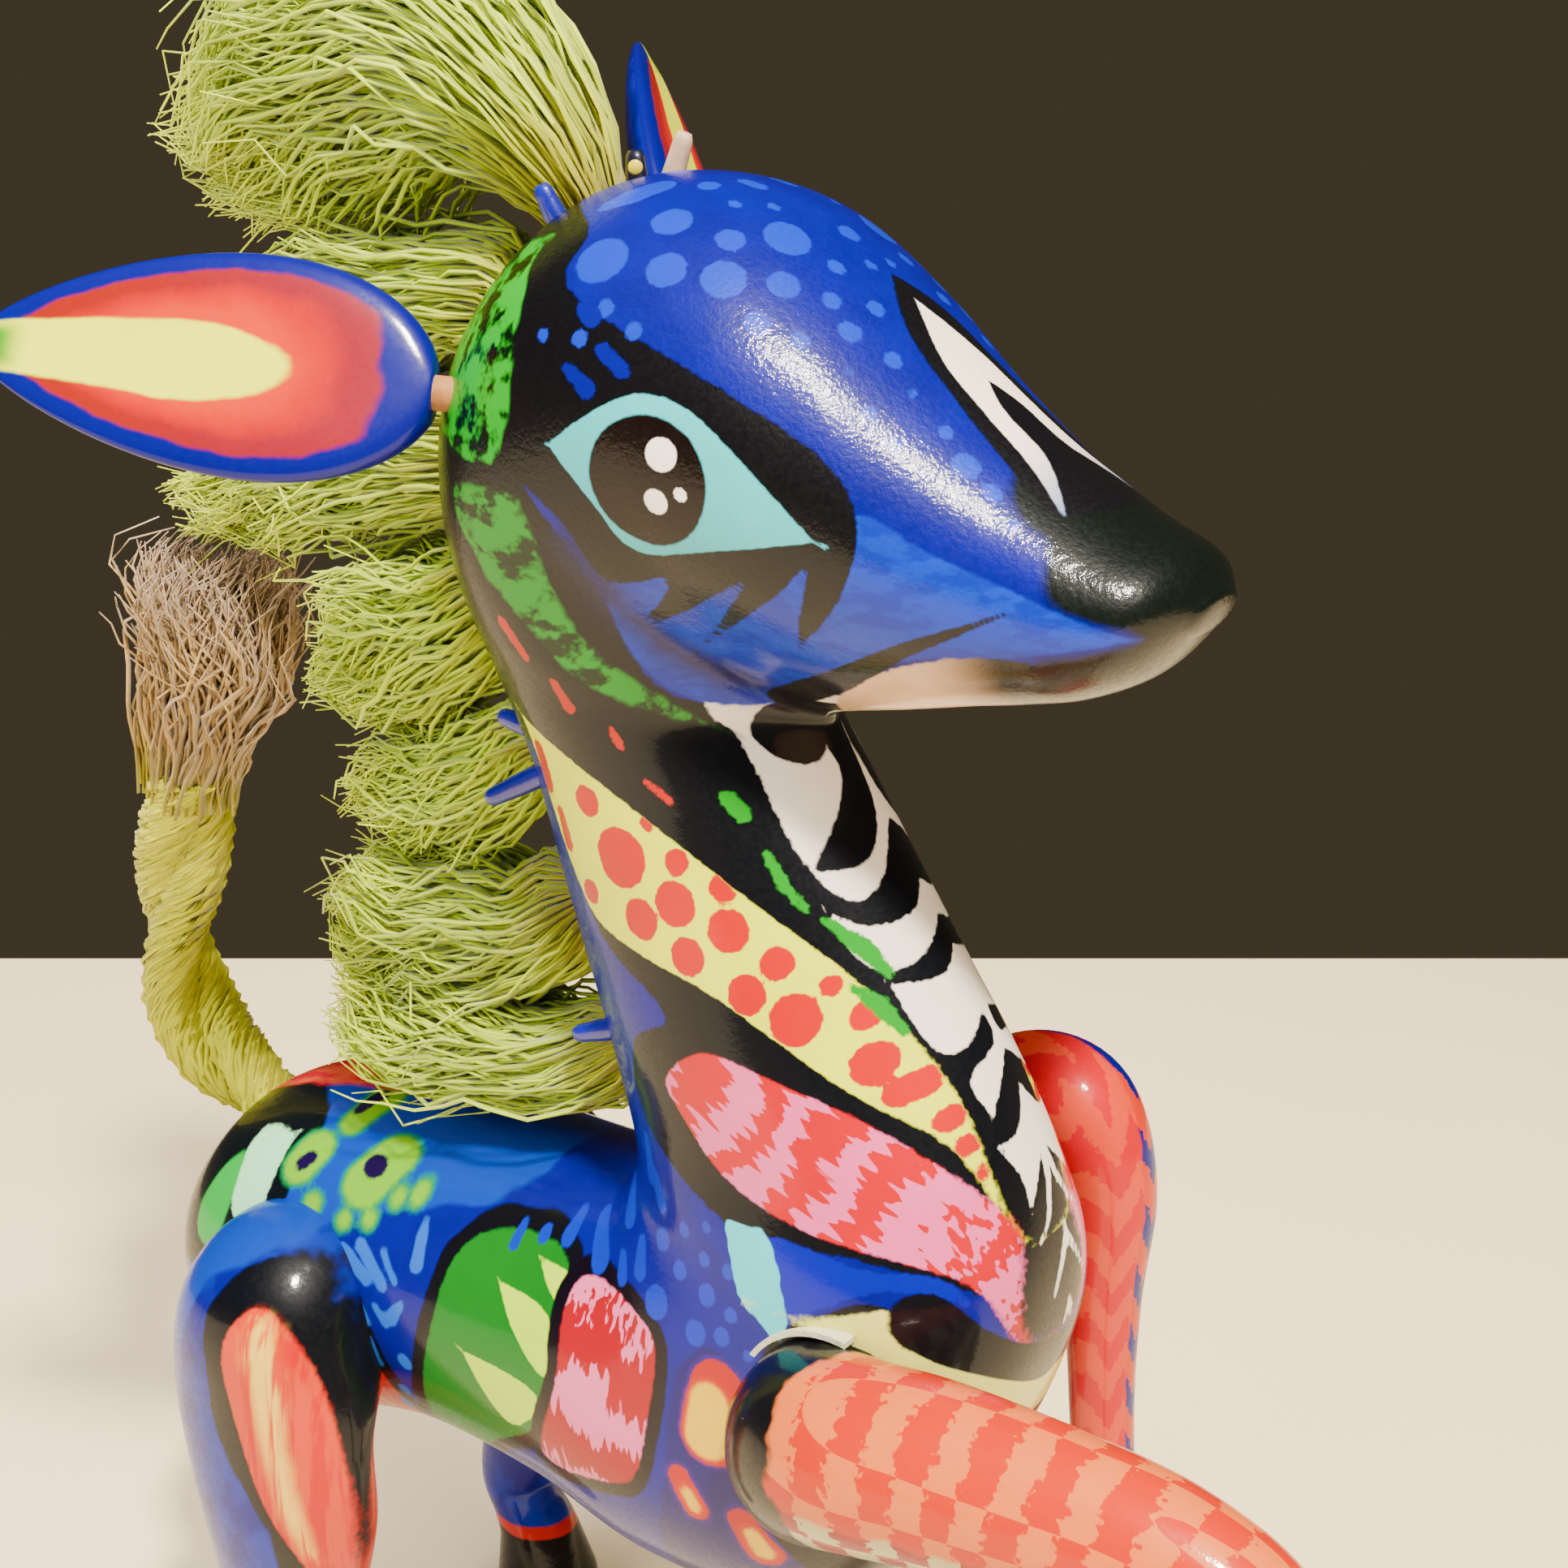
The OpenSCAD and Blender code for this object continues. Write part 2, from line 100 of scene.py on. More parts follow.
FORE_LEFT = [
    (11.2, 10.4, 46.6, 5.2, 5.2), (11.3, 13.4, 47, 5.1, 5.1), (13, 16.4, 50.8, 4.6, 4.6),
    (16.8, 16.8, 55.4, 4.1, 4.1), (21, 16.2, 55.6, 3.8, 3.8), (23.2, 16, 50.4, 3.3, 3.3),
    (23.5, 15.6, 43, 2.6, 2.6), (24, 15.2, 35, 2.2, 2.2), (25, 14.8, 25, 2.1, 2.1),
    (25.9, 14.4, 15, 2.2, 2.2), (26.7, 14.2, 8, 2.6, 2.6), (27.6, 14, 4, 3.2, 3.2), (28.4, 14, 0, 4, 4)]
HIND = [
    (-25, -9.4, 38, 7.6, 7.6), (-25, -12.2, 37.8, 7.7, 7.7), (-24.4, -14.6, 32.4, 4.5, 8.6),
    (-24, -14.6, 25, 4.5, 7.8), (-24.7, -14.3, 18, 4.1, 5.8), (-27.2, -14, 12.6, 3.4, 4.1),
    (-28.3, -13.8, 9, 2.9, 3.2), (-27.4, -13.8, 6.4, 2.8, 3), (-26.3, -13.8, 4, 3.2, 3.5),
    (-25.5, -13.8, 0, 4, 4.4)]

# Ears: root, heading round Z, lift above level and roll about the length, in degrees.
EARS = {"right": ((-5.7, -10.88, 103), 213, 6, -64), "left": ((-5.7, 10.2, 105.2), 136, 37, 60)}
EAR_LENGTH, EAR_WIDTH, EAR_THICK, EAR_GAP, EAR_CUP = 26, 12.4, 3.4, 1.5, 0.09
EAR_RINGS, EAR_SIDES = 90, 72
# The yellow drop in an ear: where its round end meets its long one, its half width and its middle.
DROP_X, DROP_HALF, DROP_Y = 14.5, 2.3, 0.2

# Mane: where each tuft leaves the crest (x, z, heading in degrees), then its middle line with half sizes.
TUFTS = {
    "mane_forelock": ((-5.3, 112.4, 118), [(-8.9, 0, 117.4, 4.4, 5), (-14.5, 0, 121, 7.2, 7.6),
        (-22.5, 0, 120.8, 9, 8.8), (-30.5, 0, 118.2, 8.6, 7.6), (-36.5, 0, 116, 5.4, 4.8),
        (-40.1, 0, 115, 2, 1.6)]),
    "mane_nape": ((-10.3, 106.6, 152), [(-15.5, 0, 107.6, 2.4, 4), (-22.5, 0, 106.6, 2.7, 4.6),
        (-29.5, 0, 104.8, 2.5, 4), (-34.5, 0, 103.4, 1.2, 1.6)]),
    "mane_curl": ((-12.2, 97.4, 178), [(-16.9, 0, 97.6, 3.6, 4.4), (-24.5, 0, 96.6, 4.2, 5.2),
        (-32.5, 0, 94.6, 3.4, 4.4), (-39.5, 0, 92.8, 2, 2.6), (-43.5, 0, 92.4, 0.8, 0.9)]),
    "mane_middle": ((-11.4, 89.2, 186), [(-15.5, 0, 87.4, 3.6, 4.2), (-21.5, 0, 85.4, 4.6, 5),
        (-26.9, 0, 83.4, 3.8, 4), (-30.9, 0, 82.2, 1.4, 1.6)]),
    "mane_wisp": ((-9.3, 80, 202), [(-13.5, 0, 77, 2.5, 3.2), (-19.5, 0, 74.6, 3, 3.8),
        (-24.5, 0, 73.2, 2.2, 2.6), (-27.5, 0, 72.8, 0.8, 1)]),
    "mane_withers_upper": ((-6.3, 69.9, 206), [(-11.1, 0, 66.8, 3, 4.6), (-18.1, 0, 65.2, 3.9, 6),
        (-25.5, 0, 64.4, 3.4, 5), (-31.1, 0, 64, 1.3, 2)]),
    "mane_withers_lower": ((-3, 60.6, 212), [(-9.3, -0.4, 57.4, 2.6, 5), (-16.5, -0.8, 56.9, 3.1, 7),
        (-23.5, -1, 56.9, 3, 6.2), (-30.5, -1, 57.4, 1.4, 2.6)])}
PLUG_R = 1.95

# How far the loose fibres stand out: up and down and sideways, as a share, and the half height at the crest.
FLUFF = {"mane_forelock": (1.04, 1.0, 3.2), "mane_nape": (1.75, 1.15, 3.6), "mane_curl": (1.3, 1.1, 3.8),
         "mane_middle": (1.55, 1.1, 4.2), "mane_wisp": (1.7, 1.1, 3.8), "mane_withers_upper": (1.6, 1.1, 4.2),
         "mane_withers_lower": (1.65, 1.05, 3.6)}

# Tail: the rope from its hole upwards, and the frayed brush above it.
TAIL = [(-31.9, 0, 41.8, 3.5, 3.5), (-36.2, 0, 44.3, 3.5, 3.5), (-40.7, 0, 46.9, 3.5, 3.5),
        (-45.3, 0, 48.8, 3.5, 3.5), (-48.1, 0, 52.6, 3.5, 3.5), (-48.7, 0, 58, 3.5, 3.5),
        (-46.9, 0, 65, 3.5, 3.5), (-44.9, 0, 71.6, 3.85, 3.85)]
BRUSH = [(-45.6, 0, 69, 3.5, 3.5), (-44.8, 0, 71.9, 3.85, 3.85), (-43.1, 0, 76.4, 5.6, 4.9),
         (-41.1, 0, 81.4, 7.35, 6.3), (-39.7, 0, 86, 7.35, 6.3), (-38.7, 0, 89.4, 4.9, 4.55)]

# Wedges: x, y, z where each leaves the wood, its heading, and the length that shows.
WEDGES = {
    "wedge_poll_blue": ((-5.1, -3.3, 112.4), (-0.4, -0.25, 1), 1.9, "blue"),
    "wedge_poll_black": ((-1.3, -0.5, 114), (0, -0.1, 1), 2, "black"),
    "wedge_poll_pale": ((-0.7, 1.8, 114.1), (0.35, 0.05, 1), 3, "pale"),
    "wedge_wisp_blue": ((-8.3, -4.2, 81.9), (-1, -0.3, 0.3), 1.6, "blue"),
    "wedge_neck_blue": ((-8.1, -4.4, 78.2), (-0.8, -0.35, -0.45), 2.8, "blue"),
    "wedge_withers_blue": ((-2.3, -4.2, 62.8), (-1, -0.3, -0.3), 2.2, "blue")}
WEDGE_IN_WOOD, WEDGE_R = 2.6, 0.75

# The stage, in metres and radians: the camera's aim, turn, lift, distance and angle of view,
# then the half width of the table and how far it goes on beyond the aim.
AIM = (0.0085, 0, 0.08)
VIEW_TURN, VIEW_LIFT, VIEW_DISTANCE, VIEW_ANGLE = math.radians(35), math.radians(18), 0.128, math.radians(40)
TABLE_SIZE, TABLE_BEYOND = 0.62, 0.165


# ---------- Painted outlines ----------
def oval(x, z, wide, tall):
    """Points of an upright oval about (x, z)."""
    turns = [math.radians(45 * k) for k in range(8)]
    return [(x + wide * math.cos(t), z + tall * math.sin(t)) for t in turns]


# Closed outlines seen from the side, in (x, z), drawn on a half-millimetre grid.
# A point given twice makes a sharp corner.
SIDE = {
    "rump": [(-27, 42), (-23, 45), (-16.5, 47.5), (-9, 50), (-9, 54), (-20, 55), (-36, 53), (-45, 46),
        (-46, 30), (-38, 24), (-31, 30)],
    "tail_black": [(-27.5, 50.5), (-36, 49.5), (-42, 45), (-43, 40), (-38, 38), (-33, 39.5), (-29, 43.5),
        (-26.5, 46)],
    "mint": [(-28.5, 49), (-28.5, 49), (-32, 48.5), (-32.5, 46), (-31, 43.5), (-28.5, 44.5)],
    "mint_green": [(-32.5, 47), (-35, 44.5), (-35.5, 41.5), (-33.5, 40.5), (-32, 43)],
    "neck_black": [(-14, 103), (-3, 103), (3.5, 95), (5, 88), (8.5, 86), (13.5, 86), (19, 77.5),
        (24.5, 70.5), (30.5, 63), (31, 53), (28.5, 48.5), (26.5, 54.5), (20, 56.5), (13.5, 56), (6.5, 58),
        (3, 60.5), (3, 65), (6, 67.5), (0, 71), (-3, 77), (-5, 82), (-14, 84)],
    "leaf": [(-5, 84), (-5, 84), (3, 80), (10, 76), (17.5, 71), (23, 65), (27, 57), (27, 57), (23.5, 62.5),
        (18, 65.5), (9.5, 69.5), (2.5, 71), (-1, 72.5), (-4, 78)],
    "petal": [(6, 63.5), (9, 66), (13.5, 65.5), (19, 64), (24, 61), (27, 57), (28, 49.5), (28, 49.5),
        (26.5, 54.5), (23, 56.5), (16.5, 57.5), (11, 59), (7.5, 61.5)],
    "strip": [(14.5, 56.5), (20.5, 56), (25, 55.5), (28, 50.5), (28, 50.5), (26, 54), (22, 55), (18, 53),
        (16, 52)],
    "teal_rags": [(11.5, 56.5), (14.5, 56.5), (16, 54), (16, 50.5), (13.5, 52), (12.5, 54)],
    "root_black": [(15.5, 50.5), (20.5, 54), (24, 53), (29, 46), (27, 39), (22, 32), (18, 32), (15, 38),
        (14.5, 46)],
    "green": [(-8, 48.5), (-2, 48.5), (-1.5, 43), (-2.5, 38), (-7, 34.5), (-14, 28.5), (-14.5, 31),
        (-12, 41), (-11, 46.5)],
    "spikes_top": [(-4.5, 48), (-4.5, 48), (-1.5, 48), (-2, 46.5)],
    "spikes_middle": [(-7, 46), (-7, 46), (-2, 45.5), (-1.5, 42), (-4.5, 43.5)],
    "spikes_low": [(-9, 41), (-9, 41), (-2, 40.5), (-5, 37)],
    "crimson": [(0, 48.5), (4, 48.5), (7, 47), (7, 42), (6, 38), (3, 36.5), (-2, 36), (-0.5, 42),
        (-1, 46.5)],
    "purple": [(9, 46.5), (12, 48.5), (15.5, 43), (19, 36), (19.5, 30), (16.5, 24), (8, 24), (7, 31),
        (8.5, 40)],
    "thigh_black": [(-25.5, 36), (-25.5, 42), (-22.5, 45), (-19, 43), (-15.5, 35.5), (-13, 26), (-13, 20),
        (-16, 14), (-20, 18), (-21, 26), (-25, 32)],
    "thigh": [(-24, 38.5), (-22, 42.5), (-19, 40), (-16.5, 34), (-16, 27), (-18, 17.5), (-18.5, 23),
        (-22, 30)],
    "thigh_light": [(-22, 42), (-20, 40), (-19.5, 33), (-18, 24), (-20.5, 30.5), (-22, 38)],
    "cheek": [(6, 94.5), (18, 96.5), (20, 99), (24, 97), (33.5, 93.5), (33.5, 93.5), (27, 92), (21, 91),
        (12.5, 86.5), (7, 86.5), (4.5, 90)],
    "eye_black": [(-8, 114), (1.5, 112.5), (2.5, 109.5), (10.5, 106), (17.5, 102), (20, 98.5), (19, 94.5),
        (15.5, 91), (15.5, 91), (17.5, 96), (15, 94), (8.5, 90), (8.5, 90), (14, 95), (9, 92.5), (5.5, 91),
        (5.5, 91), (9, 94.5), (5, 94), (3, 97.5), (-2, 101), (-9, 104), (-12, 110)],
    "feather": [(-1.5, 111.5), (-1.5, 111.5), (-14, 109), (-15.5, 105), (-3, 100), (0, 102.5), (0, 107)],
    "feather_low": [(-4.5, 98.5), (0.5, 98), (1, 93.5), (3, 89), (8.5, 84.5), (8.5, 84.5), (2, 87),
        (-2.5, 92.5), (-5, 96.5)],
    "muzzle": [(26, 100), (28.5, 97.5), (29.5, 95), (33.5, 93.5), (29, 92), (28, 90), (28.5, 86), (37, 87),
        (40, 97), (36, 102), (30, 105), (25, 105)],
    "jaw": [(14, 86.5), (20.5, 90.5), (27.5, 92), (33.5, 90), (33, 88), (21.5, 85), (14, 84.5)],
    "eye": [(3, 101.5), (3, 101.5), (6, 103.5), (9, 104.5), (12.5, 103), (18, 97.5), (18, 97.5),
        (12, 96.5), (7.5, 96), (5.5, 98.5)],
    "iris": oval(9, 100, 3.5, 3.5)}

# Closed outlines seen from the front, in (distance from the middle, z), for the throat and the chest.
FRONT = {
    "throat_top": [(6, 85.5), (5, 84), (5, 78), (4, 75.5), (2, 76), (-1, 78.5), (-3, 80), (-3, 87),
        (5.5, 87.5)],
    "throat_oval": oval(2.5, 84.5, 2, 2),
    "throat_hook": [(-0.5, 87), (1, 84), (1, 81.5), (4.5, 77.5), (4, 77), (1.5, 77.5), (-1, 80.5),
        (-1.5, 87)],
    "throat_upper": [(5, 75), (5, 75), (4.5, 72), (2, 72), (-3, 74.5), (-3, 76.5), (0, 74.5), (3.5, 74)],
    "throat_middle": [(4, 71), (4, 71), (0.5, 71), (-3, 72.5), (-3, 70), (1, 67.5), (3.5, 67.5)],
    "throat_lower": [(-1, 69), (-1, 67), (2, 66), (2.5, 65), (2, 63.5), (2, 63.5), (-0.5, 65.5),
        (-3, 67.5), (-3, 70)],
    "throat_foot": [(-3, 66), (0, 62.5), (2.5, 62), (2.5, 62), (1.5, 60), (1.5, 58), (1.5, 58), (-1, 60.5),
        (-3, 63)],
    "lobes": [(9.5, 54), (8, 55), (6, 52.5), (3, 50.5), (-2, 49), (-3, 47.5), (0, 46.5), (6, 49.5),
        (9, 51.5)],
    "belt": [(11, 52.5), (9.5, 54), (9.5, 52), (6, 49.5), (0, 46.5), (-3, 47), (-3, 43.5), (3, 44.5),
        (7.5, 48), (10.5, 51)]}

# Closed outlines on the forehead, in (x, distance from the middle).
TOP = {
    "blaze": [(15.5, -1), (15.5, 0), (15.5, 0), (18, 2.5), (22, 3.5), (28, 4.5), (32, 5), (34, -1)],
    "flame": [(17, -1), (17, 0), (17, 0), (20, 2), (23, 2.5), (26, 3), (29, 4.5), (29, 4.5), (26, 1.5),
        (23, 1), (20, -1)]}

# Round and drop-shaped dabs seen from the side: chains of (x, z, radius).
SIDE_DABS = {
    "crown_dots": [[(5.5, 108.5, 0.5)], [(7.5, 107.5, 0.5)], [(2, 107, 0.4)], [(4.5, 107, 0.5)]],
    "brow_dashes": [[(4, 108.5, 0.2), (5, 108, 0.4)], [(6, 106.5, 0.3), (7.5, 105.5, 0.3)],
        [(4, 105.5, 0.2), (5.5, 104.5, 0.4)]],
    "glints": [[(10, 101.5, 0.9)], [(9.5, 99, 0.7)], [(11, 99.5, 0.4)]],
    "mouth": [[(11, 86.5, 0.8), (16.5, 89, 0.7), (22, 92, 0.4), (27.5, 94.5, 0.1)]],
    # The soft dark violet band behind the cheek is painted shade.
    "violet": [[(3.5, 96, 0.8), (5, 92.5, 1), (7, 89.5, 1), (10, 87.5, 1)]],
    "leaf_spots": [[(0, 79.5, 1)], [(2.5, 76.5, 1.9)], [(4.5, 79, 0.5)], [(6.5, 77, 0.8)],
        [(9.5, 76, 0.9)], [(-0.5, 73.5, 0.8)], [(4, 73, 1.3)], [(6.5, 74.5, 1.4)], [(10, 73.5, 1.3)],
        [(7.5, 71.5, 1.2)], [(13, 72, 1)], [(11.5, 70, 1.2)], [(14.5, 69, 1.5)], [(16, 71, 0.6)],
        [(18, 69.5, 0.8)], [(19, 67, 1.2)], [(23, 64, 0.7)], [(24, 62.5, 0.6)], [(25, 61, 0.5)],
        [(-4, 82, 0.5), (-4, 79.5, 0.6)], [(-3, 78, 0.4), (-2.5, 76, 0.5)],
        [(20.5, 65.5, 0.8), (21.5, 66, 0.8)]],
    "neck_green": [[(9, 81, 0.4), (10, 80, 0.4)], [(11.5, 78, 0.2), (12.5, 76.5, 0.3), (14, 75, 0.2)],
        [(15, 74.5, 0.2), (17, 73, 0.4), (18.5, 71.5, 0.2)],
        [(17, 71, 0.2), (18.5, 70, 0.4), (20, 68.5, 0.2)]],
    "neck_coral": [[(-3, 90.5, 0.4), (-2, 88.5, 0.3)], [(-0.5, 87, 0.3), (0, 85.5, 0.4)],
        [(2.5, 84.5, 0.2), (3, 83.5, 0.3)], [(4.5, 81.5, 0.2), (6, 80.5, 0.2)]],
    "shoulder_dots": [[(-5, 49, 0.5)], [(8, 54.5, 0.5)], [(10, 55.5, 0.4)], [(10, 53.5, 0.5)],
        [(10.5, 51.5, 0.7)], [(6.5, 49.5, 1)], [(12, 53.5, 0.5)], [(12.5, 51, 0.5)], [(10, 49, 0.8)],
        [(12, 49.5, 0.6)], [(14, 49, 0.4)], [(8, 52, 0.6)], [(6, 53, 0.7)],
        [(3.5, 58.5, 0.3), (4, 56, 0.5)], [(4.5, 56.5, 0.4), (5.5, 55, 0.6)],
        [(1, 54, 0.4), (2, 52.5, 0.7)], [(-3, 50.5, 0.4), (-3, 49.5, 0.6)],
        [(-1, 51, 0.5), (0.5, 49.5, 0.8)], [(4, 52, 0.4), (4.5, 50.5, 0.6)],
        [(2.5, 50.5, 0.4), (3, 49.5, 0.5)], [(-7, 49, 0.3), (-7, 48, 0.4)]],
    "rump_ovals": [[(-21, 46, 0.5)], [(-19, 46.5, 0.5)], [(-17.5, 48, 0.5)], [(-16, 48.5, 0.6)],
        [(-28, 42.5, 0.5)], [(-30, 40.5, 0.5)], [(-31.5, 38, 0.6)]],
    "blue_rags": [[(-20.5, 44.5, 0.3), (-18, 43, 0.5)], [(-19, 45, 0.4), (-16.5, 43, 0.5)],
        [(-17, 45, 0.3), (-15.5, 43.5, 0.3)], [(-14.5, 47.5, 0.2), (-14, 45, 0.6)],
        [(-18.5, 41.5, 0.2), (-17.5, 40, 0.3)], [(-17, 41.5, 0.2), (-16, 40.5, 0.4)],
        [(-14.5, 42.5, 0.2), (-15.5, 41, 0.5)], [(-17.5, 39, 0.2), (-17, 37, 0.3)], [(-14.5, 38, 0.7)],
        [(-15.5, 35, 0.5)], [(-16.5, 33, 0.6)], [(-16, 30.5, 0.6)]],
    "ovals": [[(12, 46, 2), (12, 43.5, 2.4)], [(9.5, 39.5, 0.8), (10.5, 37.5, 0.9)],
        [(16, 41.5, 1), (17, 39.5, 1.3)], [(13.5, 37.5, 0.9), (14.5, 35, 1.2)]],
    "oval_hearts": [[(11.5, 45, 1.4), (11.5, 43, 1.6)], [(10, 38.5, 0.4), (10.5, 37.5, 0.4)],
        [(16.5, 41, 0.6), (17, 40, 0.8)], [(14, 36.5, 0.5), (14.5, 35, 0.6)]]}

# Dabs seen from above: chains of (x, distance from the middle, radius).
TOP_DABS = {
    "crown_dots": [[(6.5, 7.5, 1.2)], [(4, 10.5, 1.6)], [(8, 10, 1.2)], [(11, 9, 1.3)], [(10, 7, 0.9)],
        [(12, 4.5, 1.4)], [(13.5, 7, 1)], [(13.5, 9.5, 0.9)], [(15.5, 8.5, 0.8)], [(17, 6, 0.8)],
        [(15.5, 5.5, 0.7)], [(14.5, 3.5, 0.7)], [(6, 3.5, 0.7)], [(8.5, 4.5, 0.5)], [(10, 3, 0.5)],
        [(13, 0, 0.8)], [(15, 1, 0.5)], [(17, 3.5, 0.7)], [(19, 5, 0.7)], [(18, 7.5, 0.6)],
        [(20.5, 5.5, 0.6)], [(19.5, 8, 0.7)], [(22.5, 5.5, 0.6)], [(21, 8, 0.7)], [(24, 6, 0.9)],
        [(23, 7.5, 0.5)], [(25.5, 6, 0.7)], [(27, 6.5, 0.6)],
        [(1.5, 7, 0.5), (2.5, 6, 1), (3.5, 4.5, 0.9)], [(7, 1.5, 0.5), (8, 1.5, 0.5)],
        [(1, 0.5, 0.9), (2.5, 1.5, 0.8)]],
    "spine": [[(-36, 0, 2.4), (-30, 0, 2.6), (-25, 0, 2), (-21, 0, 1)]],
    "rump_ovals": [[(-24.5, 5.5, 1), (-24, 2.5, 1.2)], [(-26.5, 9, 1.5), (-26, 8, 1.5)],
        [(-20.5, 8.5, 1.8), (-19.5, 6.5, 1.7)], [(-24, 10.5, 0.8)]],
    "rump_hearts": [[(-25, 4.5, 0.5), (-24.5, 2.5, 0.6)], [(-26.5, 9, 0.7), (-26, 8.5, 0.7)],
        [(-20.5, 7.5, 1)]]}

# Thin lines seen from the front: chains of (distance from the middle, z, radius).
FRONT_DABS = {
    "chest_lines": [[(-1.5, 61.5, 0.3), (-1, 59, 0.3), (0, 57, 0.2), (1.5, 56, 0.1)],
        [(-2, 58.5, 0.3), (-1.5, 55.5, 0.3), (0.5, 52.5, 0.2)],
        [(-2.5, 54, 0.3), (-2, 52.5, 0.3), (-1, 50, 0.2)]]}
THROAT_MIDDLE = 1.5


# ---------- Shape helpers ----------
def curve_point(a, b, c, d, t):
    """A point of the smooth curve through b and c, at the share t of the way between them."""
    return 0.5 * (2 * b + (c - a) * t + (2 * a - 5 * b + 4 * c - d) * t * t
                  + (3 * b - a - 3 * c + d) * t ** 3)


def path_lengths(rows):
    """The distance along a path at each of its rows."""
    return np.concatenate([[0], np.cumsum(np.linalg.norm(np.diff(rows[:, :3], axis=0), axis=1))])


def smooth_rows(rows, steps):
    """The rows of a table with steps - 1 smooth rows added between each pair."""
    rows = np.array(rows, float)
    last = len(rows) - 1
    out = []
    for i in range(last):
        a, b, c, d = rows[max(i - 1, 0)], rows[i], rows[i + 1], rows[min(i + 2, last)]
        out += [curve_point(a, b, c, d, k / steps) for k in range(steps)]
    out.append(rows[last])
    return np.array(out)


def unit(v):
    v = np.asarray(v, float)
    return v / np.maximum(np.linalg.norm(v, axis=-1, keepdims=True), 1e-9)


def sample_rows(fine, way, at):
    """Rows of a fine path at the given distances along it."""
    return np.stack([np.interp(at, way, fine[:, k]) for k in range(fine.shape[1])], -1)


def even_rows(rows, spacing):
    """Smooth rows resampled so that their middles are about spacing apart."""
    fine = smooth_rows(rows, 12)
    way = path_lengths(fine)
    at = np.linspace(0, way[-1], max(4, int(way[-1] / spacing)))
    return sample_rows(fine, way, at), at


def grid_mesh(name, rings):
    """A closed mesh skinned over rings of points, in millimetres."""
    rings = np.asarray(rings, float)
    count, sides = rings.shape[:2]
    points = rings.reshape(-1, 3)
    i, j = np.meshgrid(np.arange(count - 1), np.arange(sides), indexing="ij")
    k = (j + 1) % sides
    low, high = i * sides, (i + 1) * sides
    quads = np.stack([low + j, low + k, high + k, high + j], -1).reshape(-1, 4)
    points = np.vstack([points, rings[0].mean(0), rings[-1].mean(0)])
    low, high = len(points) - 2, len(points) - 1
    base = (count - 1) * sides
    faces = quads.tolist() + [(low, (m + 1) % sides, m) for m in range(sides)]
    faces += [(high, base + m, base + (m + 1) % sides) for m in range(sides)]
    mesh = bpy.data.meshes.new(name)
    mesh.from_pydata((points * MM).tolist(), [], faces)
    mesh.polygons.foreach_set("use_smooth", [True] * len(mesh.polygons))
    mesh.update()
    piece = bpy.data.objects.new(name, mesh)
    bpy.context.scene.collection.objects.link(piece)
    return piece, points


def set_values(piece, name, values):
    """Stores one number per vertex for the material to read."""
    attribute = piece.data.attributes.new(name, "FLOAT", "POINT")
    full = np.zeros(len(piece.data.vertices), np.float32)
    full[:len(values)] = values
    attribute.data.foreach_set("value", full)


def block_rings(spacing, sides):
    """Rings of the carved block, closer together on the head."""
    fine = smooth_rows(BLOCK, BLOCK_STEPS)
    turn = np.linspace(0, 2 * math.pi, sides, endpoint=False)
    turn = turn + 0.2 * np.sin(2 * turn)
    lean = np.log(np.clip(fine[:, 5], 0.05, 0.95)) / math.log(0.5)
    h = ((1 - np.cos(turn)) / 2)[None, :] ** lean[:, None]
    rings = np.stack([fine[:, 0:1] + (fine[:, 2:3] - fine[:, 0:1]) * h, fine[:, 4:5] * np.sin(turn)[None, :],
                      fine[:, 1:2] + (fine[:, 3:4] - fine[:, 1:2]) * h], -1)
    move = np.linalg.norm(np.diff(rings, axis=0), axis=2).mean(1)
    move[HEAD_START * BLOCK_STEPS:] *= HEAD_FINER
    way = np.concatenate([[0], np.cumsum(move)])
    at = np.linspace(0, way[-1], int(way[-1] / spacing))
    low = np.clip(np.searchsorted(way, at, side="right") - 1, 0, len(way) - 2)
    share = ((at - way[low]) / np.maximum(way[low + 1] - way[low], 1e-9))[:, None, None]
    rings = rings[low] * (1 - share) + rings[low + 1] * share
    caps = []
    for end in (0, -1):
        middle = rings[end].mean(0)
        push = unit(middle - rings[3 if end == 0 else -4].mean(0)) * CAP_DEPTH
        caps.append([middle + (rings[end] - middle) * math.cos(a) + push * math.sin(a)
                     for a in (1.35, 0.9, 0.45)])
    rings = np.concatenate([caps[0], rings, caps[1][::-1]])
    return rings, np.tile(turn, len(rings))


def limb_rings(rows, ref, sides, spacing, first=None, final=None):
    """Rings of a swept limb, none of them below the floor, with the distance along it."""
    path, way = even_rows(rows, spacing)
    heading = unit(np.gradient(path[:, :3], axis=0))
    if first is not None:
        heading[0] = first
    if final is not None:
        heading[-1] = final
    u = unit(np.cross(heading, ref))
    v = np.cross(heading, u)
    turn = np.linspace(0, 2 * math.pi, sides, endpoint=False)
    rings = (path[:, None, :3] + u[:, None] * (path[:, 3:4] * np.cos(turn)[None])[..., None]
             + v[:, None] * (path[:, 4:5] * np.sin(turn)[None])[..., None])
    rings[..., 2] = np.maximum(rings[..., 2], 0)
    return rings, np.repeat(way, sides)


# ---------- Distances to the painted outlines ----------
# The distance that stands for far away, and how far beyond an outline or a dab distances are worked out.
FAR, MARGIN, DAB_MARGIN = 9.0, 3, 4
# How far round from the chest line the frontal paint goes, in radians, and the height of the forehead.
FRONT_TURN, FOREHEAD_Z = 1.75, 99


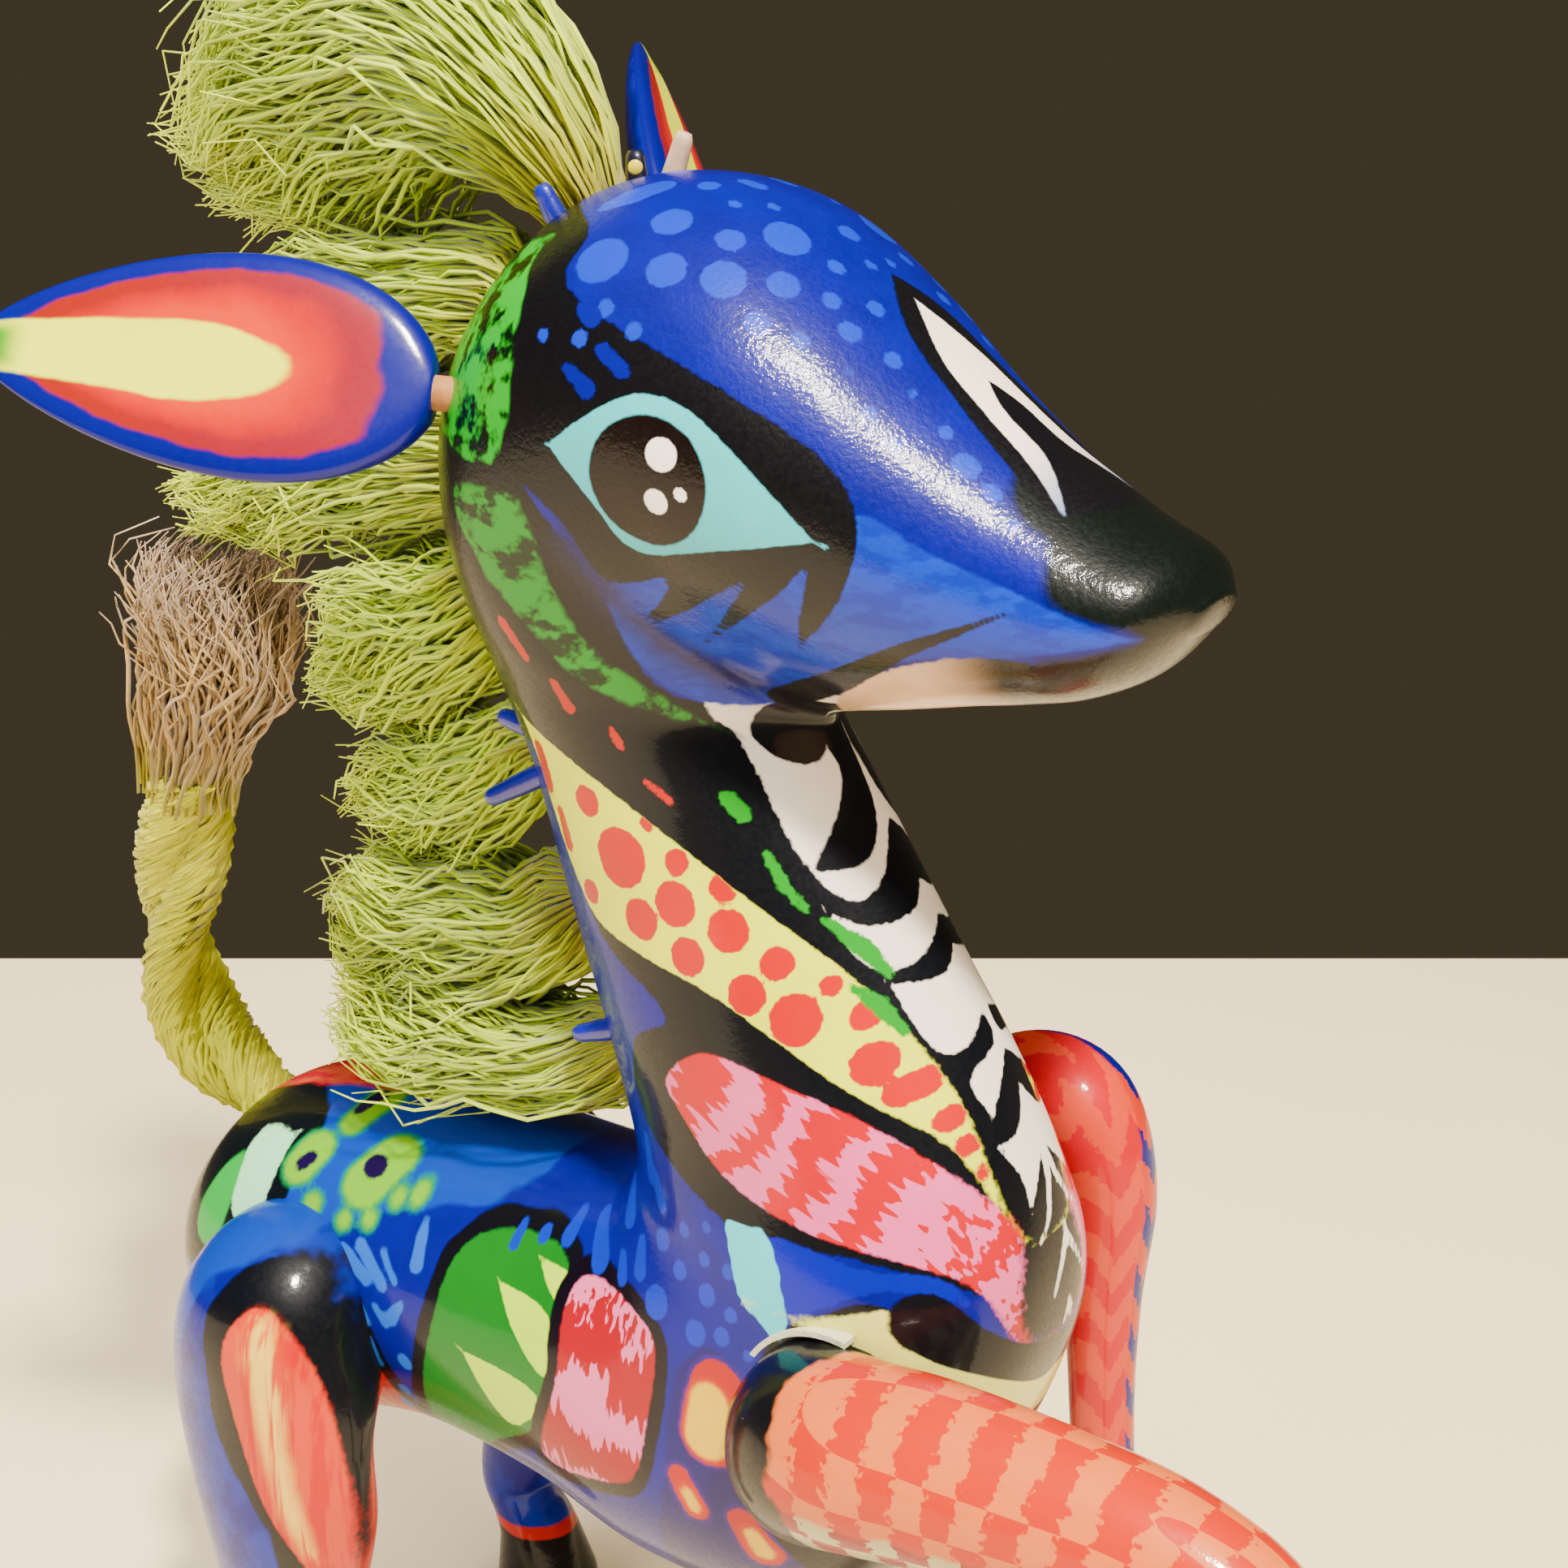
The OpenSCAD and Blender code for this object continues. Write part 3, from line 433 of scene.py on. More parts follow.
def outline_distance(points, outline):
    """Signed distance in millimetres to a smooth closed outline, negative inside."""
    rows = np.array(list(outline) + [outline[0]], float)
    n = len(outline)
    loop = []
    for i in range(n):
        a, b, c, d = (np.array(outline[(i + s) % n], float) for s in (-1, 0, 1, 2))
        loop += [curve_point(a, b, c, d, t) for t in (0, 0.25, 0.5, 0.75)]
    loop = np.array(loop)
    out = np.full(len(points), FAR)
    near = np.all((points > rows.min(0) - MARGIN) & (points < rows.max(0) + MARGIN), axis=1)
    p = points[near]
    best = np.full(len(p), 1e9)
    inside = np.zeros(len(p), bool)
    for a, b in zip(loop, np.roll(loop, -1, axis=0)):
        e = b - a
        length = e @ e
        if length < 1e-9:
            continue
        w = p - a
        t = np.clip(w @ e / length, 0, 1)
        best = np.minimum(best, ((w - t[:, None] * e) ** 2).sum(1))
        cross = (a[1] > p[:, 1]) != (b[1] > p[:, 1])
        with np.errstate(divide="ignore", invalid="ignore"):
            inside ^= cross & (p[:, 0] < e[0] * (p[:, 1] - a[1]) / e[1] + a[0])
    out[near] = np.sqrt(best) * np.where(inside, -1, 1)
    return np.clip(out, -FAR, FAR)


def dab_distance(points, chains):
    """Signed distance in millimetres to chains of round dabs, each a place and a radius, negative inside."""
    best = np.full(len(points), FAR)
    for chain in chains:
        for a, b in list(zip(chain, chain[1:])) or [(chain[0], chain[0])]:
            pa, pb = np.array(a[:-1], float), np.array(b[:-1], float)
            low, high = np.minimum(pa, pb) - DAB_MARGIN, np.maximum(pa, pb) + DAB_MARGIN
            near = np.all((points > low) & (points < high), axis=1)
            p = points[near]
            e = pb - pa
            t = np.clip((p - pa) @ e / max(e @ e, 1e-9), 0, 1)
            d = np.linalg.norm(p - pa - t[:, None] * e, axis=1) - (a[-1] + (b[-1] - a[-1]) * t)
            best[near] = np.minimum(best[near], d)
    return best


def settle(mirrored, chain):
    """Lifts dabs given from above onto the top of the wood."""
    out = []
    for x, across, radius in chain:
        gap = (mirrored[:, 0] - x) ** 2 + (mirrored[:, 1] - across) ** 2
        under = gap < max(0.5, gap.min() * 1.5)
        out.append((x, across, mirrored[under, 2].max(), radius))
    return out


def guide_name(name):
    """Outlines that share one paint are kept together under one name."""
    parted = name.startswith(("spikes", "throat")) and name not in ("throat_oval", "throat_hook")
    return name.split("_")[0] if parted else name


GUIDES = list(dict.fromkeys(guide_name(n) for table in (SIDE, FRONT, TOP, SIDE_DABS, TOP_DABS, FRONT_DABS)
                            for n in table))


def paint_guides(piece, points, turn=None, only=None):
    """Stores the distance to every painted outline on a piece's vertices, three to an attribute."""
    side = points[:, [0, 2]]
    across = np.abs(points[:, 1])
    signed = np.abs(-points[:, 1] + THROAT_MIDDLE) - THROAT_MIDDLE
    front = np.stack([signed, points[:, 2]], 1)
    top = np.stack([points[:, 0], across], 1)
    mirrored = np.stack([points[:, 0], across, points[:, 2]], 1)
    guard = np.full(len(points), FAR)
    if turn is not None:
        guard[:len(turn)] = np.where((turn < FRONT_TURN) | (turn > 2 * math.pi - FRONT_TURN), -FAR, FAR)
    ahead = FOREHEAD_Z - points[:, 2]
    jobs = [(n, lambda o=o: outline_distance(side, o)) for n, o in SIDE.items()]
    jobs += [(n, lambda o=o: np.maximum(outline_distance(front, o), guard)) for n, o in FRONT.items()]
    jobs += [(n, lambda o=o: np.maximum(outline_distance(top, o), ahead)) for n, o in TOP.items()]
    jobs += [(n, lambda c=c: dab_distance(side, c)) for n, c in SIDE_DABS.items()]
    jobs += [(n, lambda c=c: dab_distance(mirrored, [settle(mirrored, k) for k in c]))
             for n, c in TOP_DABS.items()]
    jobs += [(n, lambda c=c: np.maximum(dab_distance(front, c), guard)) for n, c in FRONT_DABS.items()]
    table = np.full((len(points), 3 * math.ceil(len(GUIDES) / 3)), FAR)
    for name, job in jobs:
        if only is None or name in only:
            column = GUIDES.index(guide_name(name))
            table[:, column] = np.minimum(table[:, column], job())
    spots, leaf = GUIDES.index("leaf_spots"), GUIDES.index("leaf")
    table[:, spots] = np.maximum(table[:, spots], table[:, leaf])
    for start in range(0, table.shape[1], 3):
        attribute = piece.data.attributes.new("paint_%02d" % (start // 3), "FLOAT_VECTOR", "POINT")
        attribute.data.foreach_set("vector", table[:, start:start + 3].astype(np.float32).ravel())


# ---------- Material helpers ----------
WHITE, GREY, BLACK = (1, 1, 1, 1), (0.5, 0.5, 0.5, 1), (0, 0, 0, 1)
PIGMENT, PALE_GAIN, DEEPEN = 0.1, 0.76, 2.0


def colour(code):
    """A colour from its hexadecimal name, in scene values."""
    parts = [int(code[i:i + 2], 16) / 255 for i in (0, 2, 4)]
    return tuple(c / 12.92 if c <= 0.04045 else ((c + 0.055) / 1.055) ** 2.4 for c in parts) + (1,)


def paint(code):
    """The pigment that reads as this colour when brightly lit: deeper and fuller, least so if it is pale."""
    c = np.array(colour(code)[:3])
    top = max(c.max(), 1e-4)
    share = c / top
    full = top * (PIGMENT + PALE_GAIN * share.mean()) * share ** DEEPEN
    return tuple(np.clip(full, 0, 0.95).tolist()) + (1,)


def node(tree, kind, links=None, **settings):
    """A node with its properties set, its sockets linked and their values filled in."""
    made = tree.nodes.new(kind)
    for key, value in settings.items():
        setattr(made, key, value)
    for key, value in (links or {}).items():
        target = made.inputs[key]
        if hasattr(value, "is_output"):
            tree.links.new(value, target)
        else:
            target.default_value = value
    return made


def maths(tree, operation, a, b=0.0, c=0.0):
    return node(tree, "ShaderNodeMath", {0: a, 1: b, 2: c}, operation=operation).outputs[0]


def blend_colour(tree, share, a, b):
    return node(tree, "ShaderNodeMix", {0: share, 6: a, 7: b}, data_type="RGBA").outputs[2]


def ramp(tree, value, low, high, to_low=0.0, to_high=1.0, kind="SMOOTHSTEP"):
    return node(tree, "ShaderNodeMapRange", {0: value, 1: low, 2: high, 3: to_low, 4: to_high},
                interpolation_type=kind).outputs[0]


def group(name, inputs, outputs):
    """An empty node group with named sockets; returns it with its input and output nodes."""
    tree = bpy.data.node_groups.new(name, "ShaderNodeTree")
    kinds = {"value": "NodeSocketFloat", "colour": "NodeSocketColor", "vector": "NodeSocketVector"}
    for label, kind, start in inputs:
        made = tree.interface.new_socket(name=label, in_out="INPUT", socket_type=kinds[kind])
        made.default_value = start
    for label, kind in outputs:
        tree.interface.new_socket(name=label, in_out="OUTPUT", socket_type=kinds[kind])
    return tree, tree.nodes.new("NodeGroupInput").outputs, tree.nodes.new("NodeGroupOutput").inputs


def use(tree, name, links):
    return node(tree, "ShaderNodeGroup", links, node_tree=bpy.data.node_groups[name]).outputs


def millimetres(tree):
    """Object coordinates in millimetres."""
    place = node(tree, "ShaderNodeTexCoord").outputs["Object"]
    return scaled(tree, place, 1 / MM)


def noise(tree, place, scale, detail=2.0, rough=0.5):
    inputs = {"Vector": place, "Scale": scale, "Detail": detail, "Roughness": rough}
    return node(tree, "ShaderNodeTexNoise", inputs).outputs["Fac"]


def scaled(tree, vector, share):
    return node(tree, "ShaderNodeVectorMath", {0: vector, 3: share}, operation="SCALE").outputs[0]


def wobbled(tree, value, wobble, amount, size="Coarse"):
    """A value moved by the unsteadiness of the hand."""
    return maths(tree, "MULTIPLY_ADD", wobble[size], amount, value)


def cover_above(tree, base, value, low, high, coat):
    """Covers the base with a coat where the value is high."""
    return blend_colour(tree, ramp(tree, value, low, high), base, coat)


def cover_below(tree, base, value, low, high, coat):
    """Covers the base with a coat where the value is low."""
    return blend_colour(tree, ramp(tree, value, low, high, 1.0, 0.0), base, coat)


def build_groups():
    """The shared effects of paint, varnish and fibre."""
    tree, i, o = group("hand wobble", [("Coarse Size", "value", 2.4), ("Fine Size", "value", 0.5)],
                       [("Coarse", "value"), ("Fine", "value")])
    place = millimetres(tree)
    for label, size in (("Coarse", "Coarse Size"), ("Fine", "Fine Size")):
        n = noise(tree, place, maths(tree, "DIVIDE", 1.0, i[size]), 2.0)
        tree.links.new(maths(tree, "MULTIPLY_ADD", n, 2.0, -1.0), o[label])

    tree, i, o = group("paint edge", [("Distance", "value", 0), ("Reach", "value", 0), ("Wobble", "value", 0),
                                      ("Amount", "value", 0.2), ("Softness", "value", 0.08)],
                       [("Mask", "value")])
    wavy = maths(tree, "MULTIPLY_ADD", i["Wobble"], i["Amount"], i["Distance"])
    moved = maths(tree, "SUBTRACT", wavy, i["Reach"])
    soft = maths(tree, "DIVIDE", moved, i["Softness"])
    tree.links.new(ramp(tree, soft, -1.0, 1.0, 1.0, 0.0), o["Mask"])

    tree, i, o = group("brushed paint", [("Colour A", "colour", WHITE), ("Colour B", "colour", BLACK),
                                         ("Stretch", "vector", (1, 1, 1)), ("Balance", "value", 0.5),
                                         ("Sharpness", "value", 0.06)], [("Colour", "colour")])
    place = node(tree, "ShaderNodeVectorMath", {0: millimetres(tree), 1: i["Stretch"]}, operation="MULTIPLY")
    n = noise(tree, place.outputs[0], 1.0, 3.0, 0.65)
    low = maths(tree, "SUBTRACT", i["Balance"], i["Sharpness"])
    high = maths(tree, "ADD", i["Balance"], i["Sharpness"])
    tree.links.new(blend_colour(tree, ramp(tree, n, low, high), i["Colour A"], i["Colour B"]), o["Colour"])

    tree, i, o = group("ragged strokes", [("Colour A", "colour", WHITE), ("Colour B", "colour", BLACK),
                                          ("Direction", "vector", (1, 0, 0)), ("Pitch", "value", 5.0),
                                          ("Stroke", "value", 0.4), ("Ragged", "value", 1.2),
                                          ("Balance", "value", 0.5)], [("Colour", "colour")])
    place = millimetres(tree)
    dot = node(tree, "ShaderNodeVectorMath", {0: place, 1: i["Direction"]}, operation="DOT_PRODUCT")
    along = dot.outputs["Value"]
    part = scaled(tree, i["Direction"], along)
    cross = node(tree, "ShaderNodeVectorMath", {0: place, 1: part}, operation="SUBTRACT").outputs[0]
    fine = noise(tree, cross, maths(tree, "DIVIDE", 1.0, i["Stroke"]), 1.0)
    broad = noise(tree, place, maths(tree, "DIVIDE", 0.8, i["Pitch"]), 1.0)
    moved = along
    for spread, amount in ((fine, maths(tree, "MULTIPLY", i["Ragged"], 3.0)),
                           (broad, maths(tree, "MULTIPLY", i["Pitch"], 1.6))):
        moved = maths(tree, "MULTIPLY_ADD", maths(tree, "SUBTRACT", spread, 0.5), amount, moved)
    wave = maths(tree, "PINGPONG", maths(tree, "DIVIDE", moved, i["Pitch"]), 0.5)
    half = maths(tree, "MULTIPLY", i["Balance"], 0.5)
    mask = ramp(tree, wave, maths(tree, "SUBTRACT", half, 0.02), maths(tree, "ADD", half, 0.02))
    tree.links.new(blend_colour(tree, mask, i["Colour A"], i["Colour B"]), o["Colour"])

    tree, i, o = group("hand-painted tone", [("Colour", "colour", WHITE), ("Amount", "value", 0.12)],
                       [("Colour", "colour"), ("Height", "value")])
    place = millimetres(tree)
    broad = noise(tree, place, 0.16, 2.0)
    fine = noise(tree, place, 1.1, 4.0, 0.7)
    both = maths(tree, "ADD", maths(tree, "MULTIPLY", broad, 0.6), maths(tree, "MULTIPLY", fine, 0.4))
    twice = maths(tree, "MULTIPLY", i["Amount"], 2.0)
    share = maths(tree, "MULTIPLY_ADD", maths(tree, "SUBTRACT", both, 0.5), twice, 1.0)
    tree.links.new(scaled(tree, i["Colour"], share), o["Colour"])
    tree.links.new(fine, o["Height"])

    tree, i, o = group("varnish grain", [("Fine", "value", 1.0), ("Broad", "value", 1.0),
                                         ("Sanded Z", "value", 90.0)],
                       [("Height", "value"), ("Grain", "value")])
    place = millimetres(tree)
    fine = noise(tree, place, 3.2, 3.0, 0.6)
    broad = noise(tree, place, 0.35, 2.0)
    where = node(tree, "ShaderNodeSeparateXYZ", {0: place}).outputs[2]
    below, above = maths(tree, "SUBTRACT", i["Sanded Z"], 6.0), maths(tree, "ADD", i["Sanded Z"], 6.0)
    more = ramp(tree, where, below, above, 0.25, 1.0)
    tree.links.new(maths(tree, "ADD", maths(tree, "MULTIPLY", maths(tree, "MULTIPLY", fine, i["Fine"]), more),
                         maths(tree, "MULTIPLY", broad, i["Broad"])), o["Height"])
    tree.links.new(fine, o["Grain"])

    tree, i, o = group("fibre tone", [("Root", "colour", BLACK), ("Middle", "colour", GREY),
                                      ("Tip", "colour", WHITE), ("Along", "value", 0.5),
                                      ("Tone", "value", 0.5)], [("Colour", "colour")])
    first = cover_above(tree, i["Root"], i["Along"], 0.0, 0.4, i["Middle"])
    full = cover_above(tree, first, i["Along"], 0.75, 1.0, i["Tip"])
    tree.links.new(scaled(tree, full, ramp(tree, i["Tone"], 0.0, 1.0, 0.62, 1.3, "LINEAR")), o["Colour"])


def material(name):
    made = bpy.data.materials.new(name)
    made.use_nodes = True
    tree = made.node_tree
    return made, tree, tree.nodes["Principled BSDF"]


def value_of(tree, name):
    return node(tree, "ShaderNodeAttribute", attribute_name=name).outputs["Fac"]


def guide_value(tree, name):
    """The distance to one painted outline."""
    column = GUIDES.index(name)
    label = "paint_%02d" % (column // 3)
    parts = tree.nodes.get(label)
    if parts is None:
        stored = node(tree, "ShaderNodeAttribute", attribute_name=label).outputs["Vector"]
        parts = node(tree, "ShaderNodeSeparateXYZ", {0: stored}, name=label)
    return parts.outputs[column % 3]


def set_varnish(tree, shader, base, coat_roughness=0.07, bump=0.5, fine=1.0, broad=1.0, sanded=90.0):
    """Oil paint under varnish: a slightly grainy, glossy coat."""
    tone = use(tree, "hand-painted tone", {"Colour": base, "Amount": 0.16})
    grain = use(tree, "varnish grain", {"Fine": fine, "Broad": broad, "Sanded Z": sanded})
    tree.links.new(tone["Colour"], shader.inputs["Base Color"])
    rough = ramp(tree, grain["Grain"], 0.3, 0.7, 0.36, 0.5)
    tree.links.new(rough, shader.inputs["Roughness"])
    shader.inputs["Specular IOR Level"].default_value = 0.12
    shader.inputs["Coat Weight"].default_value = 0.5
    shader.inputs["Coat Roughness"].default_value = coat_roughness
    shader.inputs["Coat IOR"].default_value = 1.4
    lift = node(tree, "ShaderNodeBump", {"Height": grain["Height"], "Strength": bump, "Distance": 0.0001})
    tree.links.new(lift.outputs[0], shader.inputs["Normal"])
    tree.links.new(lift.outputs[0], shader.inputs["Coat Normal"])


# Layers of paint from the wood upwards: outline, reach, wobble, softness, then the way it is painted.
FLAT, BRUSHED, FADED, STROKES = "flat", "brushed", "faded", "strokes"
BODY_LAYERS = [
    ("rump", 0, 0.6, 0.25, FLAT, "0B76C6"),
    ("tail_black", 0, 0.3, 0.15, FLAT, "0A0F12"),
    ("mint", 0, 0.2, 0.15, FLAT, "BEE6C8"),
    ("mint_green", 0, 0.3, 0.2, FLAT, "4CC474"),
    ("rump_ovals", 0.35, 0.2, 0.3, FLAT, "2A9A6C"),
    ("rump_ovals", 0, 0.15, 0.25, FLAT, "A0C81E"),
    ("spine", 0, 0.4, 0.4, BRUSHED, "FF4A78", "FF9A78", (0.2, 0.6, 0.3), 0.5),
    ("rump_hearts", 0, 0.15, 0.15, FLAT, "2A1440"),
    ("purple", 0, 0.4, 0.25, FLAT, "3A2478"),
    ("ovals", 0.3, 0.2, 0.15, FLAT, "5A1E8C"),
    ("ovals", 0, 0.12, 0.1, FLAT, "F0284A"),
    ("oval_hearts", 0.3, 0.1, 0.3, FLAT, "FF7A28"),
    ("oval_hearts", 0, 0.1, 0.2, FLAT, "FFE61E"),
    ("green", 1.1, 0.3, 0.12, FLAT, "0C0C10"),
    ("green", 0, 0.15, 0.12, FLAT, "0B8C46"),
    ("spikes", 0, 0.08, 0.08, FLAT, "E6FF28"),
    ("crimson", 1.0, 0.3, 0.12, FLAT, "0E0A12"),
    ("crimson", 0, 0.15, 0.12, STROKES, "D21E5A", "F2A6C4", (-0.06, 0, 1), 6.4, 0.45, 1.6, 0.52),
    ("thigh_black", 0, 0.4, 0.15, FLAT, "0A0C10"),
    ("thigh", 0, 0.12, 0.15, BRUSHED, "FF4A14", "FF8A64", (1.0, 0.5, 0.07), 0.5),
    ("thigh_light", 0.1, 0.3, 0.8, BRUSHED, "FFE68C", "FF9064", (0.9, 0.4, 0.06), 0.48),
    ("blue_rags", 0, 0.3, 0.12, FLAT, "5A9CE0"),
    ("shoulder_dots", 0, 0.08, 0.09, FLAT, "1A6EDC"),
    ("neck_black", 0, 0.25, 0.1, FLAT, "0C0D10"),
    ("leaf", 0, 0.12, 0.08, FLAT, "FAFF14"),
    ("leaf_spots", 0, 0.16, 0.07, FLAT, "FF4A4C"),
    ("petal", 0, 0.15, 0.1, STROKES, "F8A0C6", "FF1464", (0.9, 0, -0.44), 4.6, 0.5, 1.5, 0.5),
    ("throat", 0, 0.16, 0.08, FLAT, "E6E2DA"),
    ("throat_oval", 0, 0.1, 0.08, FLAT, "0C0D10"),
    ("throat_hook", 0, 0.1, 0.08, FLAT, "0C0D10"),
    ("neck_green", 0, 0.2, 0.08, FLAT, "14BE46"),
    ("neck_coral", 0, 0.2, 0.08, FLAT, "F0503C"),
    ("root_black", 0, 0.3, 0.12, FLAT, "0C0D10"),
    ("strip", 0, 0.2, 0.1, FLAT, "1634D2"),
    ("teal_rags", 0, 0.7, 0.08, FLAT, "78D8DC"),
    ("belt", 0, 0.12, 0.1, FLAT, "DEDE9A"),
    ("lobes", 0, 0.1, 0.08, FLAT, "0C0D10"),
    ("chest_lines", 0, 0.1, 0.08, FLAT, "E6E2DA"),
    ("cheek", 0, 0.1, 0.12, BRUSHED, "1068CC", "1E7CE0", (0.3, 0.4, 0.8), 0.5),
    # Painted shade: the soft dark violet band behind the cheek.
    ("violet", 0, 0.6, 1.5, FLAT, "2A1E50"),
    ("eye_black", 0, 0.14, 0.09, FLAT, "0A0A0C"),
    ("feather", 0, 0.5, 0.15, BRUSHED, "14C850", "06140A", (0.5, 0.5, 0.42), 0.53),
    ("feather_low", 0, 0.6, 0.2, BRUSHED, "4CA650", "1A2A1C", (0.4, 0.9, 0.5), 0.5),
    ("muzzle", 0, 0.4, 0.35, FLAT, "0A0E0C"),
    ("jaw", 0, 0.15, 0.12, FADED, "D8C4B0", "14110F", (21.5, 27.0)),
    ("mouth", 0, 0.1, 0.08, FLAT, "0C0C10"),
    ("eye", 0, 0.08, 0.07, FLAT, "6FC4C8"),
    ("iris", 0, 0.06, 0.09, FLAT, "100A0A"),
    ("glints", 0, 0.03, 0.06, FLAT, "F4F0E8"),
    ("crown_dots", 0, 0.14, 0.08, FLAT, "0F76E4"),
    ("brow_dashes", 0.1, 0.2, 0.08, FLAT, "1414A8"),
    ("blaze", 0, 0.1, 0.09, FLAT, "0A0A0C"),
    ("flame", 0, 0.08, 0.08, FADED, "EEE6DC", "8C98A8", (24.0, 29.0))]


# The outlines that run on from the block to the hind legs.
THIGH_OUTLINES = ("rump", "thigh_black", "thigh", "thigh_light")


def paint_over(tree, base, layers, wobble):
    """Lays the painted layers over a base colour."""
    along_x = node(tree, "ShaderNodeSeparateXYZ", {0: millimetres(tree)}).outputs[0]
    for name, reach, amount, softness, style, *rest in layers:
        mask = use(tree, "paint edge", {"Distance": guide_value(tree, name), "Reach": float(reach),
                                        "Wobble": wobble["Coarse" if amount > 0.25 else "Fine"],
                                        "Amount": float(amount), "Softness": float(softness)})["Mask"]
        if style == FLAT:
            coat = paint(rest[0])
        elif style == BRUSHED:
            coat = use(tree, "brushed paint", {"Colour A": paint(rest[0]), "Colour B": paint(rest[1]),
                                               "Stretch": rest[2], "Balance": rest[3]})["Colour"]
        elif style == STROKES:
            coat = use(tree, "ragged strokes", {"Colour A": paint(rest[0]), "Colour B": paint(rest[1]),
                                                "Direction": unit(rest[2]).tolist(), "Pitch": rest[3],
                                                "Stroke": rest[4], "Ragged": rest[5],
                                                "Balance": rest[6]})["Colour"]
        else:
            coat = cover_above(tree, paint(rest[0]), along_x, *rest[2], paint(rest[1]))
        base = blend_colour(tree, mask, base, coat)
    return base


def body_material(blue, other_blue):
    """Every outline and dab of the block, over two blues brushed into each other."""
    made, tree, shader = material("painted wood, body")
    wobble = use(tree, "hand wobble", {})
    base = use(tree, "brushed paint", {"Colour A": blue, "Colour B": other_blue,
                                       "Stretch": (0.3, 0.3, 0.3), "Balance": 0.5,
                                       "Sharpness": 0.2})["Colour"]
    base = paint_over(tree, base, BODY_LAYERS, wobble)
    set_varnish(tree, shader, base, 0.04, 0.3, 1.2, 0.5)
    return made


def leg_material(name, first, second, dark, pale, spread, petals):
    """Ragged bands of two colours across a foreleg, darker underneath, and a black hoof with a ring."""
    made, tree, shader = material(name)
    wobble = use(tree, "hand wobble", {})
    along, around = value_of(tree, "along"), value_of(tree, "around")
    jagged = wobbled(tree, wobbled(tree, along, wobble, 0.7), wobble, 0.8, "Fine")
    if petals:
        checks = maths(tree, "ROUND", maths(tree, "MULTIPLY", around, 2.2))
        brick = maths(tree, "MULTIPLY", checks, spread * 0.5)
    else:
        brick = maths(tree, "MULTIPLY", maths(tree, "PINGPONG", around, 0.42), spread * 1.3)
    wave = maths(tree, "PINGPONG", maths(tree, "ADD", jagged, brick), spread * 0.5)
    bands = ramp(tree, wave, spread * 0.23, spread * 0.27)
    base = blend_colour(tree, bands, first, second)
    lower = blend_colour(tree, bands, paint(dark), paint(pale))
    base = cover_above(tree, base, wobbled(tree, around, wobble, 0.12), 1.32, 1.4, lower)
    black = paint("0C0A0C")
    base = cover_above(tree, base, wobbled(tree, around, wobble, 0.1), 2.12, 2.2, black)
    if petals:
        base = cover_below(tree, base, wobbled(tree, along, wobble, 0.9), 5.2, 5.6, paint("0C0D10"))
    hoof = wobbled(tree, value_of(tree, "from_floor"), wobble, 0.3)
    for low, high, coat in ((5.6, 5.8, black), (4.9, 5.1, first), (4.2, 4.4, black)):
        base = cover_below(tree, base, hoof, low, high, coat)
    set_varnish(tree, shader, base, 0.08, 0.35, sanded=200.0)
    return made


def thigh_material():
    """The rump and thigh outlines carried onto the hind legs, and their hooves."""
    made, tree, shader = material("painted wood, hind legs")
    wobble = use(tree, "hand wobble", {})
    base = use(tree, "brushed paint", {"Colour A": paint("0B62BC"), "Colour B": paint("1014A0"),
                                       "Stretch": (0.2, 0.2, 0.2), "Balance": 0.5,
                                       "Sharpness": 0.1})["Colour"]
    base = paint_over(tree, base, [row for row in BODY_LAYERS if row[0] in THIGH_OUTLINES], wobble)
    hoof = wobbled(tree, value_of(tree, "from_floor"), wobble, 0.3)
    base = cover_below(tree, base, hoof, 6.0, 6.2, paint("FF5A32"))
    base = cover_below(tree, base, hoof, 5.0, 5.2, paint("0C0A0C"))
    set_varnish(tree, shader, base, 0.08, 0.35, sanded=200.0)
    return made


def ear_material():
    """Rings of blue, plum, red and orange round a yellow drop, and a mottled blue back."""
    made, tree, shader = material("painted wood, ears")
    wobble = use(tree, "hand wobble", {})
    along, core = value_of(tree, "along"), value_of(tree, "core")
    rough = wobbled(tree, value_of(tree, "rim"), wobble, 0.3)
    outer = cover_above(tree, paint("16168C"), wobble["Coarse"], -0.3, 0.3, paint("1E4AC8"))
    plum = cover_above(tree, paint("A8405A"), along, 8.0, 20.0, paint("B4503C"))
    base = cover_above(tree, paint("20209A"), rough, 1.05, 1.35, plum)
    base = cover_above(tree, base, rough, 1.75, 2.5, paint("F0463C"))
    base = cover_above(tree, base, rough, 2.3, 3.1, paint("FF7E46"))
    base = cover_below(tree, base, wobbled(tree, core, wobble, 0.2), -0.15, 0.15, paint("FAFF14"))
    tip = maths(tree, "MULTIPLY", ramp(tree, along, 22.5, 24.5), ramp(tree, core, 0.3, -0.8))
    base = blend_colour(tree, tip, base, paint("64B41E"))
    base = blend_colour(tree, value_of(tree, "inner"), outer, base)
    set_varnish(tree, shader, base, 0.12, 0.3, 0.5, sanded=200.0)
    return made


